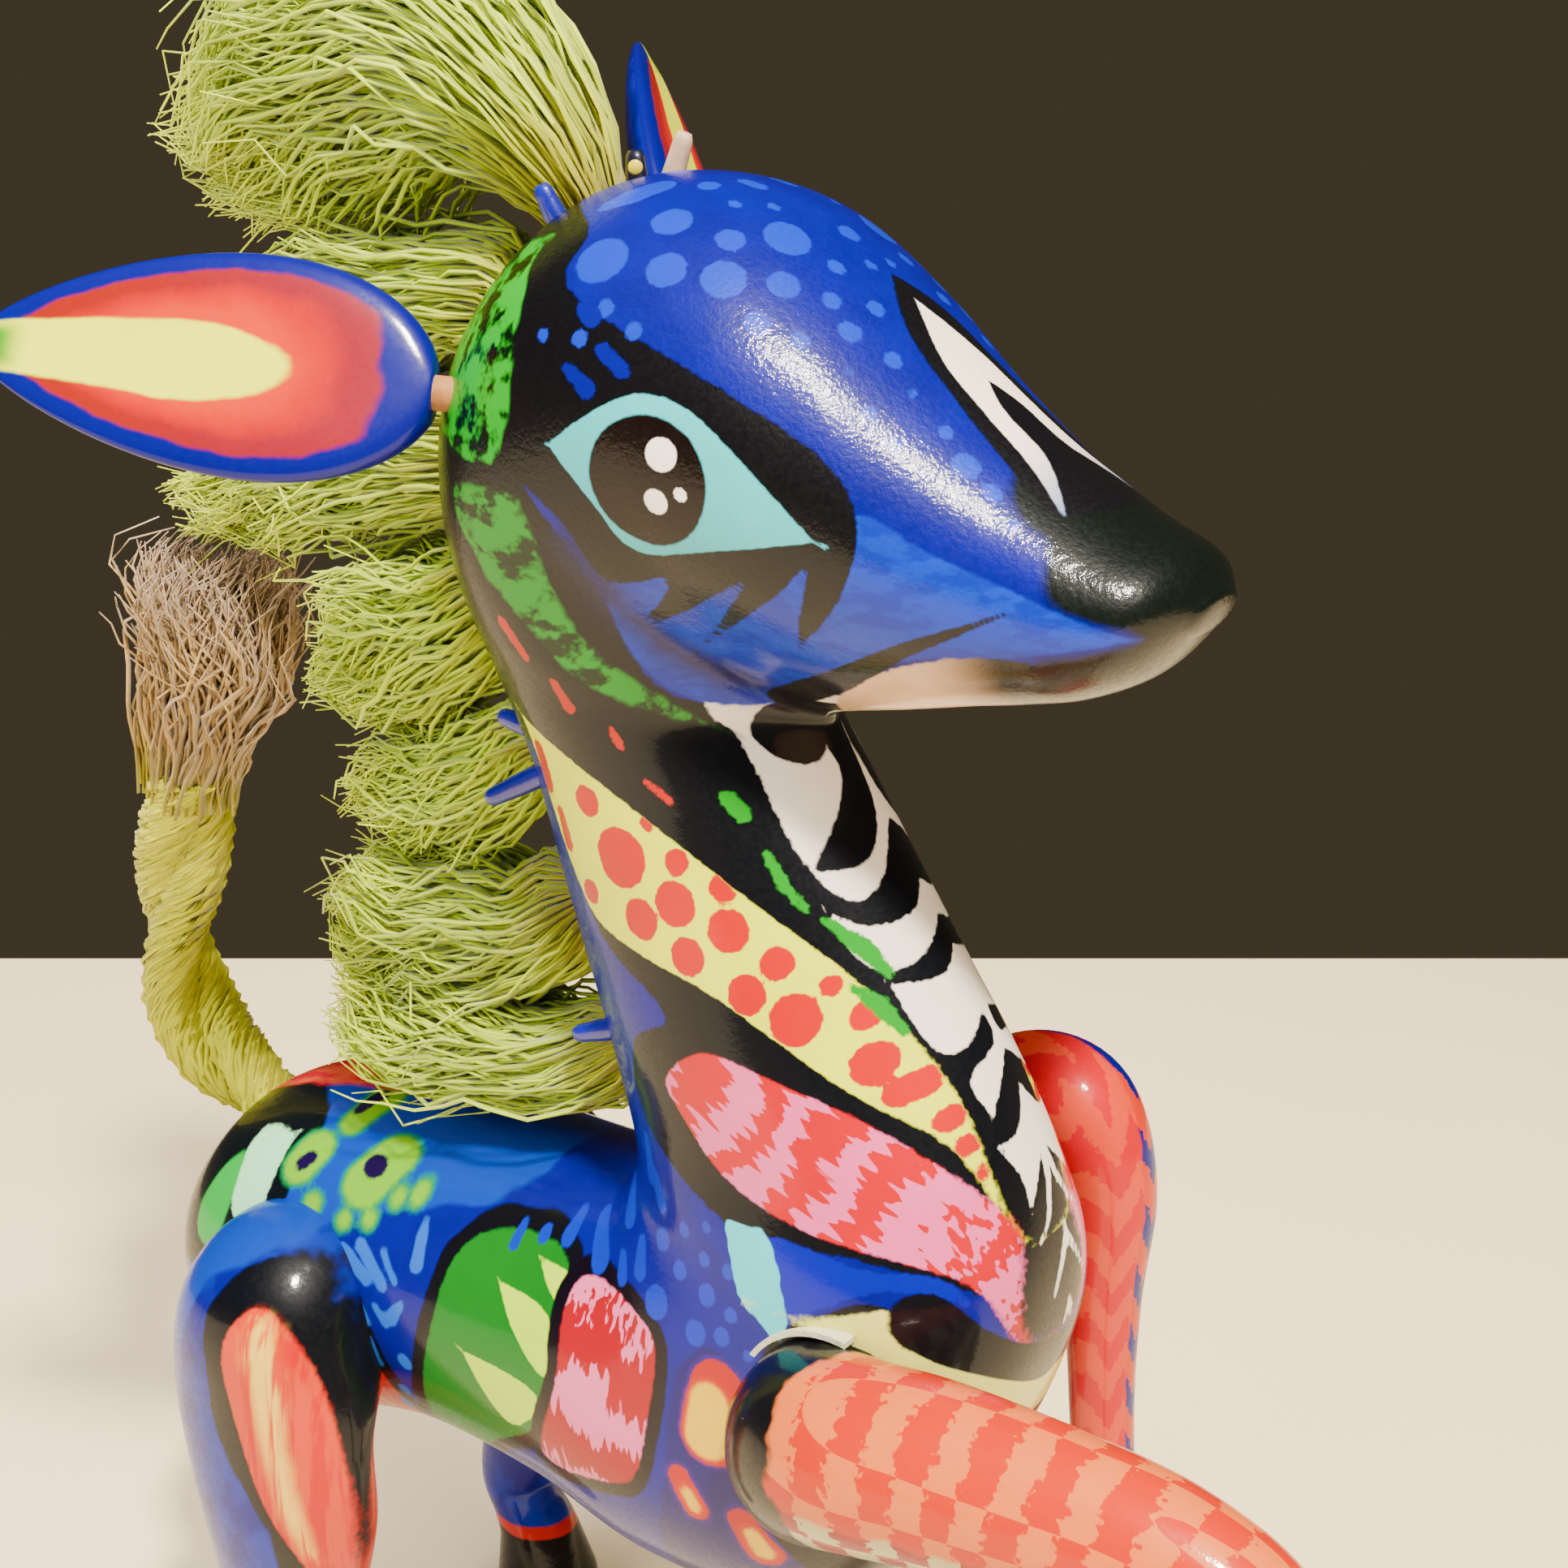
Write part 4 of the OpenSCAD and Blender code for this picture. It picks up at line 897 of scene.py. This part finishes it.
def plain_material(name, code, second=None, rough=0.5, coat=0.0, bump=0.3):
    """A painted or bare surface with a little variation."""
    made, tree, shader = material(name)
    base = use(tree, "brushed paint", {"Colour A": paint(code), "Colour B": paint(second or code),
                                       "Stretch": (0.5, 0.5, 0.12), "Balance": 0.5,
                                       "Sharpness": 0.2})["Colour"]
    tone = use(tree, "hand-painted tone", {"Colour": base, "Amount": 0.2})
    tree.links.new(tone["Colour"], shader.inputs["Base Color"])
    shader.inputs["Roughness"].default_value = rough
    shader.inputs["Coat Weight"].default_value = coat
    shader.inputs["Coat Roughness"].default_value = 0.1
    lift = node(tree, "ShaderNodeBump", {"Height": tone["Height"], "Strength": bump, "Distance": 0.0002})
    tree.links.new(lift.outputs[0], shader.inputs["Normal"])
    return made


def fibre_material(name, root, middle, tip):
    """Dyed plant fibre, darker at the root, with its own tone on each strand."""
    made, tree, shader = material(name)
    tone = use(tree, "fibre tone", {"Root": paint(root), "Middle": middle, "Tip": paint(tip),
                                    "Along": value_of(tree, "along"),
                                    "Tone": value_of(tree, "tone")})["Colour"]
    tree.links.new(tone, shader.inputs["Base Color"])
    shader.inputs["Roughness"].default_value = 0.55
    shader.inputs["Specular IOR Level"].default_value = 0.3
    shader.inputs["Sheen Weight"].default_value = 0.25
    shader.inputs["Sheen Roughness"].default_value = 0.4
    return made


# ---------- Fibres ----------
def strand_mesh(name, paths, radii, tones):
    """One mesh of three-sided strands, from their paths and the radii at each point, in millimetres."""
    count, steps = paths.shape[:2]
    heading = unit(np.gradient(paths, axis=1))
    u = unit(np.cross(heading, np.array([0.31, 0.87, 0.38])))
    v = np.cross(heading, u)
    turn = np.array([0, 2 * math.pi / 3, 4 * math.pi / 3])
    around = (u[:, :, None] * np.cos(turn)[None, None, :, None]
              + v[:, :, None] * np.sin(turn)[None, None, :, None])
    rings = paths[:, :, None] + around * radii[:, :, None, None]
    points = rings.reshape(-1, 3)
    i = np.arange(count)[:, None, None] * steps * 3
    j = np.arange(steps - 1)[None, :, None] * 3
    k = np.arange(3)[None, None, :]
    m = (k + 1) % 3
    corners = np.broadcast_arrays(i + j + k, i + j + m, i + j + 3 + m, i + j + 3 + k)
    quads = np.stack(corners, -1).reshape(-1, 4)
    mesh = bpy.data.meshes.new(name)
    mesh.vertices.add(len(points))
    mesh.vertices.foreach_set("co", (points * MM).astype(np.float32).ravel())
    mesh.loops.add(quads.size)
    mesh.loops.foreach_set("vertex_index", quads.astype(np.int32).ravel())
    mesh.polygons.add(len(quads))
    mesh.polygons.foreach_set("loop_start", np.arange(0, quads.size, 4, dtype=np.int32))
    mesh.polygons.foreach_set("use_smooth", [True] * len(quads))
    mesh.update(calc_edges=True)
    piece = bpy.data.objects.new(name, mesh)
    bpy.context.scene.collection.objects.link(piece)
    along = np.broadcast_to(np.linspace(0, 1, steps)[None, :, None], (count, steps, 3)).reshape(-1)
    set_values(piece, "along", along)
    set_values(piece, "tone", np.broadcast_to(tones[:, None, None], (count, steps, 3)).reshape(-1))
    return piece


def tuft_strands(rows, count, seed, thick, clumps, steps=13, curl=1.0, stray=0.06, short=0.45, rim=0.5):
    """Paths of strands that fill a tuft, gathered in clumps with curly, uneven ends."""
    rng = np.random.default_rng(seed)
    fine = smooth_rows(rows, 12)
    way = path_lengths(fine)
    total = way[-1]
    centre = np.sqrt(rng.random(clumps)) * 0.88
    angle = rng.random(clumps) * 2 * math.pi
    cx, cy = centre * np.cos(angle), centre * np.sin(angle)
    who = rng.integers(0, clumps, count)
    r = rng.random(count) ** rim
    a = rng.random(count) * 2 * math.pi
    ox, oy = r * np.cos(a), r * np.sin(a)
    reach = np.clip(1 - short * rng.random(count) ** 1.4, 0.2, 1) * (1 - 0.12 * rng.random(clumps)[who])
    s = np.linspace(0, 1, steps)[None, :]
    at = s * reach[:, None] * total
    base = sample_rows(fine, way, at)
    ahead, behind = (sample_rows(fine, way, np.clip(at + k, 0, total)) for k in (0.3, -0.3))
    heading = unit((ahead - behind)[..., :3])
    u = unit(np.cross(heading, np.array([0.0, 1, 0])))
    v = np.cross(heading, u)
    pull = 0.15 + 0.55 * s
    px = ox[:, None] * (1 - pull) + cx[who][:, None] * pull
    py = oy[:, None] * (1 - pull) + cy[who][:, None] * pull
    swing = curl * (0.15 + 1.25 * s ** 1.6)
    lean = (rng.random((clumps, 2)) - 0.5)[who] * 2
    phase_c = rng.random((clumps, 4)) * 2 * math.pi
    rate_c = 0.35 + 0.35 * rng.random((clumps, 2))
    phase_s = rng.random((count, 4)) * 2 * math.pi
    rate_s = 0.6 + 0.9 * rng.random((count, 2))
    wave_u, wave_v = (0.8 * np.sin(at * rate_c[who, k:k + 1] + phase_c[who, k:k + 1])
                      + 0.5 * np.sin(at * rate_s[:, k:k + 1] + phase_s[:, k:k + 1]) for k in (0, 1))
    lost = rng.random(count) < stray
    wide = np.where(lost, 1.25, 1.0)[:, None]
    loose = swing * np.where(lost, 1.7, 1.0)[:, None] * 0.8
    cu = base[..., 3] * px * wide + (wave_u + lean[:, 0:1] * 1.6 * s) * loose
    cv = base[..., 4] * py * wide + (wave_v + lean[:, 1:2] * 1.2 * s) * loose
    paths = base[..., :3] + u * cu[..., None] + v * cv[..., None]
    radii = thick * (0.8 + 0.5 * rng.random(count))[:, None] * np.interp(s, [0, 0.6, 1], [1, 1, 0.3])
    return paths, radii, 0.6 * rng.random(count) + 0.4 * rng.random(clumps)[who]


def node_body(name):
    """The body a CAD node rides on."""
    return frame["nodes"][name].parent.name.replace("body:", "")


def mount(piece, made, node_name):
    """Gives a piece its material, and puts it in the place of a CAD node on the same body."""
    piece.data.materials.append(made)
    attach(piece, node_body(node_name))
    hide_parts(node_name)


def repaint(node_name, made):
    """Gives a CAD node that stays visible its material."""
    piece = frame["nodes"][node_name]
    piece.data.materials.clear()
    piece.data.materials.append(made)


# ---------- Settings ----------
def length(name, purpose, default, low, high):
    """A length setting, in metres."""
    return bpy.props.FloatProperty(name=name, description=purpose, default=default, min=low, max=high,
                                   precision=5, unit="LENGTH")


def tint(name, purpose, default):
    """A colour setting."""
    return bpy.props.FloatVectorProperty(name=name, description=purpose, subtype="COLOR", size=4,
                                         min=0, max=1, default=default)


class FoalSettings(bpy.types.PropertyGroup):
    """Sizes and colours of the foal and its stage"""
    ring_spacing: length("Ring spacing", "Distance between the rings of the block", 0.00042, 0.0002, 0.002)
    ring_sides: bpy.props.IntProperty(name="Ring sides", description="Points round each ring of the block",
                                      default=216, min=48, max=320)
    mane_density: bpy.props.FloatProperty(name="Mane density", description="Share of the mane's fibres",
                                          default=1.0, min=0.1, max=1.2, subtype="FACTOR")
    fibre_radius: length("Fibre radius", "Radius of one fibre of the mane", 0.00017, 0.00005, 0.0004)
    body_blue: tint("Body blue", "First blue of the carved block", paint("0E0E9C"))
    body_other_blue: tint("Body second blue", "Blue brushed into the first one", paint("1218AE"))
    right_leg_orange: tint("Right leg orange", "Darker bands of the right foreleg", paint("FF7814"))
    right_leg_salmon: tint("Right leg salmon", "Paler bands of the right foreleg", paint("FFB478"))
    left_leg_salmon: tint("Left leg salmon", "Paler bands of the left foreleg", paint("FF8C6E"))
    left_leg_pink: tint("Left leg pink", "Stronger bands of the left foreleg", paint("FF1464"))
    mane_colour: tint("Mane", "Middle of the mane's fibres", paint("DCEB1E"))
    tail_colour: tint("Tail", "Middle of the tail's fibres", paint("DCDC1E"))
    brush_colour: tint("Tail brush", "Middle of the frayed brush's fibres", paint("C8B48C"))
    table_colour: tint("Table", "Main colour of the table top", colour("f0dcb0"))
    room_colour: tint("Room", "Colour of the room behind the table", colour("423a2c"))
    key_power: bpy.props.FloatProperty(name="Light", description="Power that all the lights go by",
                                       default=4.2, min=0, max=50, unit="POWER")


# ---------- Operators ----------
class FOAL_OT_body(bpy.types.Operator):
    """Carved block of the head, neck and trunk, with all of its painted outlines"""
    bl_idname = "foal.body"
    bl_label = "Carved Body"

    def execute(self, context):
        s = context.scene.foal
        rings, turn = block_rings(s.ring_spacing / MM, s.ring_sides)
        piece, points = grid_mesh("carved_body_painted", rings)
        paint_guides(piece, points, turn)
        mount(piece, body_material(s.body_blue, s.body_other_blue), "carved_body")
        return {"FINISHED"}


class FOAL_OT_legs(bpy.types.Operator):
    """The four carved legs with their bands and petals"""
    bl_idname = "foal.legs"
    bl_label = "Legs"

    def execute(self, context):
        s = context.scene.foal
        orange = leg_material("painted wood, right foreleg", s.right_leg_orange, s.right_leg_salmon,
                              "C8381E", "B8B496", 3.6, True)
        pink = leg_material("painted wood, left foreleg", s.left_leg_salmon, s.left_leg_pink,
                            "FF7A3C", "1E2A96", 4.2, False)
        for name, rows, side, made, slot_name in (
                ("leg_fore_right", FORE_RIGHT, -1, orange, "leg_orange_paint"),
                ("leg_fore_left", FORE_LEFT, 1, pink, "leg_pink_paint")):
            rings, along = limb_rings(rows, FORE_REF, 72, 0.4, (0, side, 0), (0, 0, -1))
            piece, points = grid_mesh(name + "_painted", rings)
            outward = unit(rings - rings.mean(1, keepdims=True)).reshape(-1, 3)
            up = unit((0.35, -0.45, 0.82) if side < 0 else (-0.1, -0.9, 0.42))
            set_values(piece, "along", along)
            set_values(piece, "around", np.arccos(np.clip(outward @ up, -1, 1)))
            set_values(piece, "from_floor", points[:, 2])
            mount(piece, made, name)
        made = thigh_material()
        for name, side in (("leg_hind_right", -1), ("leg_hind_left", 1)):
            rows = [(x, y * -side, z, a, b) for x, y, z, a, b in HIND]
            rings = limb_rings(rows, (1, 0, 0), 96, 0.3, (0, side, 0), (0, 0, -1))[0]
            piece, points = grid_mesh(name + "_painted", rings)
            paint_guides(piece, points, only=THIGH_OUTLINES)
            set_values(piece, "from_floor", points[:, 2])
            mount(piece, made, name)
        return {"FINISHED"}


class FOAL_OT_ears(bpy.types.Operator):
    """The two leaf-shaped ears, which turn and pull out on their pegs"""
    bl_idname = "foal.ears"
    bl_label = "Ears"

    def execute(self, context):
        made = ear_material()
        for side, (root, heading, lift, roll) in EARS.items():
            s = 0.5 - 0.5 * np.cos(math.pi * (0.045 + 0.955 * np.linspace(0, 1, EAR_RINGS)))
            rnd = np.sqrt(np.clip(1 - (2 * s - 1) ** 2, 0, 1))
            w = EAR_WIDTH / 2 * (0.18 * (1 - s) * np.sqrt(1 - s) + rnd ** 1.25 * (1.13 - 0.42 * s)) + 0.15
            t = EAR_THICK / 2 * (0.75 * (1 - s) + 0.55 * rnd) + 0.12
            a = np.linspace(0, 2 * math.pi, EAR_SIDES, endpoint=False)[None, :]
            x = np.broadcast_to(s[:, None] * EAR_LENGTH, (EAR_RINGS, EAR_SIDES))
            y = w[:, None] * np.cos(a)
            z = t[:, None] * np.sin(a) + EAR_CUP * w[:, None] * np.cos(a) ** 2 * 2
            local = np.stack([x + EAR_GAP, y, z], -1)
            turn = rotation(math.radians(roll), math.radians(-lift), math.radians(heading))
            rings = local @ turn.T + np.array(root)
            piece = grid_mesh("ear_" + side + "_painted", rings)[0]
            rim = w[:, None] * (1 - np.abs(np.cos(a)))
            ends = [rim + 0.02, x * 0.42 + 0.02, (EAR_LENGTH - x) * 0.6 + 1.0]
            rim = sum(e ** -2.2 for e in ends) ** (-1 / 2.2)
            set_values(piece, "rim", rim.reshape(-1))
            set_values(piece, "along", x.reshape(-1))
            set_values(piece, "core", self.teardrop(x, y).reshape(-1))
            set_values(piece, "inner", np.tile(np.sin(a[0]) > -0.05, EAR_RINGS))
            mount(piece, made, "ear_" + side)
        return {"FINISHED"}

    @staticmethod
    def teardrop(x, y):
        """Signed distance, about, to the yellow drop in the middle of an ear."""
        front = np.hypot((x - DROP_X) * DROP_HALF / 6.6, y - DROP_Y) - DROP_HALF
        back = np.abs(y - DROP_Y) - (DROP_HALF - (x - DROP_X) * 0.09)
        return np.where(x > DROP_X, back, front)


def rotation(rx, ry, rz):
    """A rotation round X, then Y, then Z."""
    a, b = (math.cos(rx), math.sin(rx)), (math.cos(ry), math.sin(ry))
    c = (math.cos(rz), math.sin(rz))
    mx = np.array([[1, 0, 0], [0, a[0], -a[1]], [0, a[1], a[0]]])
    my = np.array([[b[0], 0, b[1]], [0, 1, 0], [-b[1], 0, b[0]]])
    mz = np.array([[c[0], -c[1], 0], [c[1], c[0], 0], [0, 0, 1]])
    return mz @ my @ mx


class FOAL_OT_mane(bpy.types.Operator):
    """Seven glued tufts of dyed plant fibre down the crest"""
    bl_idname = "foal.mane"
    bl_label = "Mane"

    def execute(self, context):
        s = context.scene.foal
        made = fibre_material("dyed plant fibre, mane", "A8A010", s.mane_colour, "F5FF50")
        sizes = {"mane_forelock": 2650, "mane_nape": 1500, "mane_curl": 1700, "mane_middle": 1900,
                 "mane_wisp": 1100, "mane_withers_upper": 2100, "mane_withers_lower": 2000}
        for seed, (name, (root, rows)) in enumerate(TUFTS.items()):
            a = math.radians(root[2])
            out = (math.cos(a), math.sin(a))
            tall, wide, near = FLUFF[name]
            start = [(root[0] - out[0] * k, 0, root[1] - out[1] * k, r, r)
                     for k, r in ((2.5, 1.6), (0, PLUG_R))]
            start += [(root[0] + out[0] * 1.6, 0, root[1] + out[1] * 1.6, near, near * 0.8)]
            grown = [(x, y, z, h * tall, w * wide) for x, y, z, h, w in rows]
            paths = tuft_strands(start + grown, int(sizes[name] * s.mane_density), 11 + seed,
                                 thick=s.fibre_radius / MM, clumps=44 if name == "mane_forelock" else 24)
            piece = strand_mesh(name + "_fibres", *paths)
            mount(piece, made, name)
        return {"FINISHED"}


class FOAL_OT_tail(bpy.types.Operator):
    """The stiff glued rope tail of two twisted plies, and its frayed brush"""
    bl_idname = "foal.tail"
    bl_label = "Tail"

    def execute(self, context):
        rng = np.random.default_rng(5)
        s = context.scene.foal
        made = fibre_material("dyed plant fibre, tail", "BEBE14", s.tail_colour, "EBEB32")
        fine = smooth_rows(TAIL, 16)
        way = path_lengths(fine)
        count, steps = 1100, 30
        at = np.broadcast_to(np.linspace(0, way[-1], steps)[None, :], (count, steps))
        base = sample_rows(fine, way, at)
        heading = unit(np.gradient(base[..., :3], axis=1))
        v = np.broadcast_to(np.array([0.0, 1, 0]), heading.shape)
        u = unit(np.cross(v, heading))
        ply = rng.integers(0, 2, count)[:, None]
        twist = at * 0.2 + ply * math.pi + 0.6
        inner = 0.62 * np.sqrt(0.15 + 0.85 * rng.random(count))[:, None]
        own = rng.random(count)[:, None] * 2 * math.pi + at * 0.55
        fuzz = 0.07 * np.sin(at * (0.7 + rng.random(count)[:, None]) + rng.random(count)[:, None] * 6)
        cu = 0.42 * np.cos(twist) + (inner + fuzz) * np.cos(own)
        cv = 0.42 * np.sin(twist) + (inner + fuzz) * np.sin(own)
        r = base[..., 3]
        paths = base[..., :3] + (u * cu[..., None] + v * cv[..., None]) * (r * 0.93)[..., None]
        radii = np.full((count, steps), 0.2)
        piece = strand_mesh("tail_rope_plies", paths, radii, 0.25 + 0.6 * rng.random(count))
        mount(piece, made, "tail_rope")

        tan = fibre_material("frayed fibre, brush", "C8C01E", s.brush_colour, "C8B8A4")
        parts = tuft_strands(BRUSH, 1100, 77, steps=14, clumps=20, curl=0.9, stray=0.1, thick=0.16, short=0.3,
                             rim=0.42)
        piece = strand_mesh("tail_brush_fibres", *parts)
        mount(piece, tan, "tail_brush")
        return {"FINISHED"}


class FOAL_OT_wedges(bpy.types.Operator):
    """The six small whittled wedges that hold the tufts, and the finish of pegs, dowels and putty"""
    bl_idname = "foal.wedges"
    bl_label = "Wedges and Pegs"

    def execute(self, context):
        paints = {"blue": plain_material("painted wedge, blue", "1428B4", "1E50C8", 0.4, 0.6),
                  "black": plain_material("painted wedge, black", "101018", "26263A", 0.4, 0.6),
                  "pale": plain_material("bare wedge", "D8CCBC", "B8A894", 0.6, 0.1)}
        for name, (root, heading, shown, kind) in WEDGES.items():
            h = unit(heading)
            rows = [(-WEDGE_IN_WOOD, 1), (0, 1), (shown * 0.5, 0.88), (shown * 0.85, 0.8), (shown, 0.56)]
            path = [tuple(np.array(root) + h * k) + (WEDGE_R * f, WEDGE_R * f * 0.86) for k, f in rows]
            rings = limb_rings(path, (0.2, 0.9, 0.3), 14, 0.3)[0]
            piece = grid_mesh(name + "_whittled", rings)[0]
            mount(piece, paints[kind], name)
        self.dot()
        wood = plain_material("bare wood", "C8A678", "B08A5A", 0.65)
        for name in frame["nodes"]:
            if name.startswith(("dowel", "ear_peg")):
                repaint(name, wood)
        repaint("putty_fore_right", plain_material("putty", "E0DCC8", "C8C8B4", 0.55, 0.2, 0.8))
        return {"FINISHED"}

    @staticmethod
    def dot():
        """The yellow dab on the front of the black wedge."""
        root, heading, shown = WEDGES["wedge_poll_black"][:3]
        h = unit(heading)
        middle = np.array(root) + h * shown * 0.55
        out = unit(np.array((0.55, -0.8, 0.0)))
        rows = ((0.3, 0.42), (0.62, 0.42), (0.72, 0.28), (0.76, 0.06))
        path = [tuple(middle + out * k) + (r, r) for k, r in rows]
        piece = grid_mesh("wedge_poll_black_dot", limb_rings(path, (0, 0, 1), 20, 0.05)[0])[0]
        piece.data.materials.append(plain_material("yellow dab", "E6DC1E", "E6DC1E", 0.3, 0.5))
        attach(piece, node_body("wedge_poll_black"))


class FOAL_OT_stage(bpy.types.Operator):
    """A pale table top, a dark room, the lights and the camera"""
    bl_idname = "foal.stage"
    bl_label = "Stage"

    def execute(self, context):
        s = context.scene.foal
        scene = context.scene
        away = Vector((-math.sin(VIEW_TURN), math.cos(VIEW_TURN), 0))
        across = Vector((math.cos(VIEW_TURN), math.sin(VIEW_TURN), 0)) * TABLE_SIZE
        far = Vector((AIM[0], AIM[1], 0)) + away * TABLE_BEYOND
        near = far - away * TABLE_SIZE
        corners = [far - across, far + across, near + across, near - across]
        mesh = bpy.data.meshes.new("table_top")
        mesh.from_pydata([c.to_tuple() for c in corners], [], [(3, 2, 1, 0)])
        table = bpy.data.objects.new("table_top", mesh)
        scene.collection.objects.link(table)
        made, tree, shader = material("pale table")
        n = noise(tree, millimetres(tree), 0.02, 3.0)
        tree.links.new(blend_colour(tree, n, s.table_colour, colour("fae6ba")), shader.inputs["Base Color"])
        shader.inputs["Roughness"].default_value = 0.5
        mesh.materials.append(made)

        world = bpy.data.worlds.new("dark room")
        scene.world = world
        world.use_nodes = True
        world.node_tree.nodes["Background"].inputs["Color"].default_value = s.room_colour
        lights = [("key", (0.17, -0.12, 0.42), 0.04, s.key_power * 1.5, "fff4e6", True),
                  ("ceiling", (-0.12, -0.05, 0.6), 0.5, s.key_power * 1.25, "fff6ea", False),
                  ("fill", (-0.2, -0.45, 0.25), 0.4, s.key_power * 0.9, "f6f6ff", False),
                  ("front", (0.42, -0.1, 0.2), 0.3, s.key_power * 0.45, "fff0e0", False)]
        for name, spot, width, power, glow, shines in lights:
            data = bpy.data.lights.new(name, "AREA")
            data.size, data.energy, data.color = width, power, colour(glow)[:3]
            lamp = bpy.data.objects.new(name, data)
            scene.collection.objects.link(lamp)
            lamp.location = spot
            lamp.visible_glossy = shines
            throw = Vector((0.005, 0, 0.08)) - Vector(spot)
            lamp.rotation_euler = throw.to_track_quat("-Z", "Y").to_euler()
        data = bpy.data.cameras.new("camera")
        data.sensor_width = data.sensor_height = 36
        data.angle = VIEW_ANGLE
        data.clip_start = 0.01
        eye = bpy.data.objects.new("camera", data)
        scene.collection.objects.link(eye)
        target = Vector(AIM)
        level = math.cos(VIEW_LIFT)
        back = Vector((math.sin(VIEW_TURN) * level, -math.cos(VIEW_TURN) * level, math.sin(VIEW_LIFT)))
        eye.location = target + back * VIEW_DISTANCE
        eye.rotation_euler = (-back).to_track_quat("-Z", "Y").to_euler()
        scene.camera = eye
        return {"FINISHED"}


class FOAL_PT_panel(bpy.types.Panel):
    """Buttons for the foal's parts"""
    bl_idname = "FOAL_PT_panel"
    bl_label = "Painted Foal"
    bl_space_type = "VIEW_3D"
    bl_region_type = "UI"
    bl_category = "Foal"

    def draw(self, context):
        for name in FoalSettings.__annotations__:
            self.layout.prop(context.scene.foal, name)
        for kind in OPERATORS:
            self.layout.operator(kind.bl_idname)


OPERATORS = (FOAL_OT_body, FOAL_OT_legs, FOAL_OT_ears, FOAL_OT_mane, FOAL_OT_tail, FOAL_OT_wedges,
             FOAL_OT_stage)
CLASSES = (FoalSettings,) + OPERATORS + (FOAL_PT_panel,)


def register():
    for kind in CLASSES:
        bpy.utils.register_class(kind)
    bpy.types.Scene.foal = bpy.props.PointerProperty(type=FoalSettings)


def unregister():
    del bpy.types.Scene.foal
    for kind in reversed(CLASSES):
        bpy.utils.unregister_class(kind)


def main():
    register()
    build_groups()
    for kind in OPERATORS:
        family, name = kind.bl_idname.split(".")
        result = getattr(getattr(bpy.ops, family), name)()
        if result != {"FINISHED"}:
            raise RuntimeError(kind.bl_label + " did not finish")


if __name__ == "__main__":
    main()
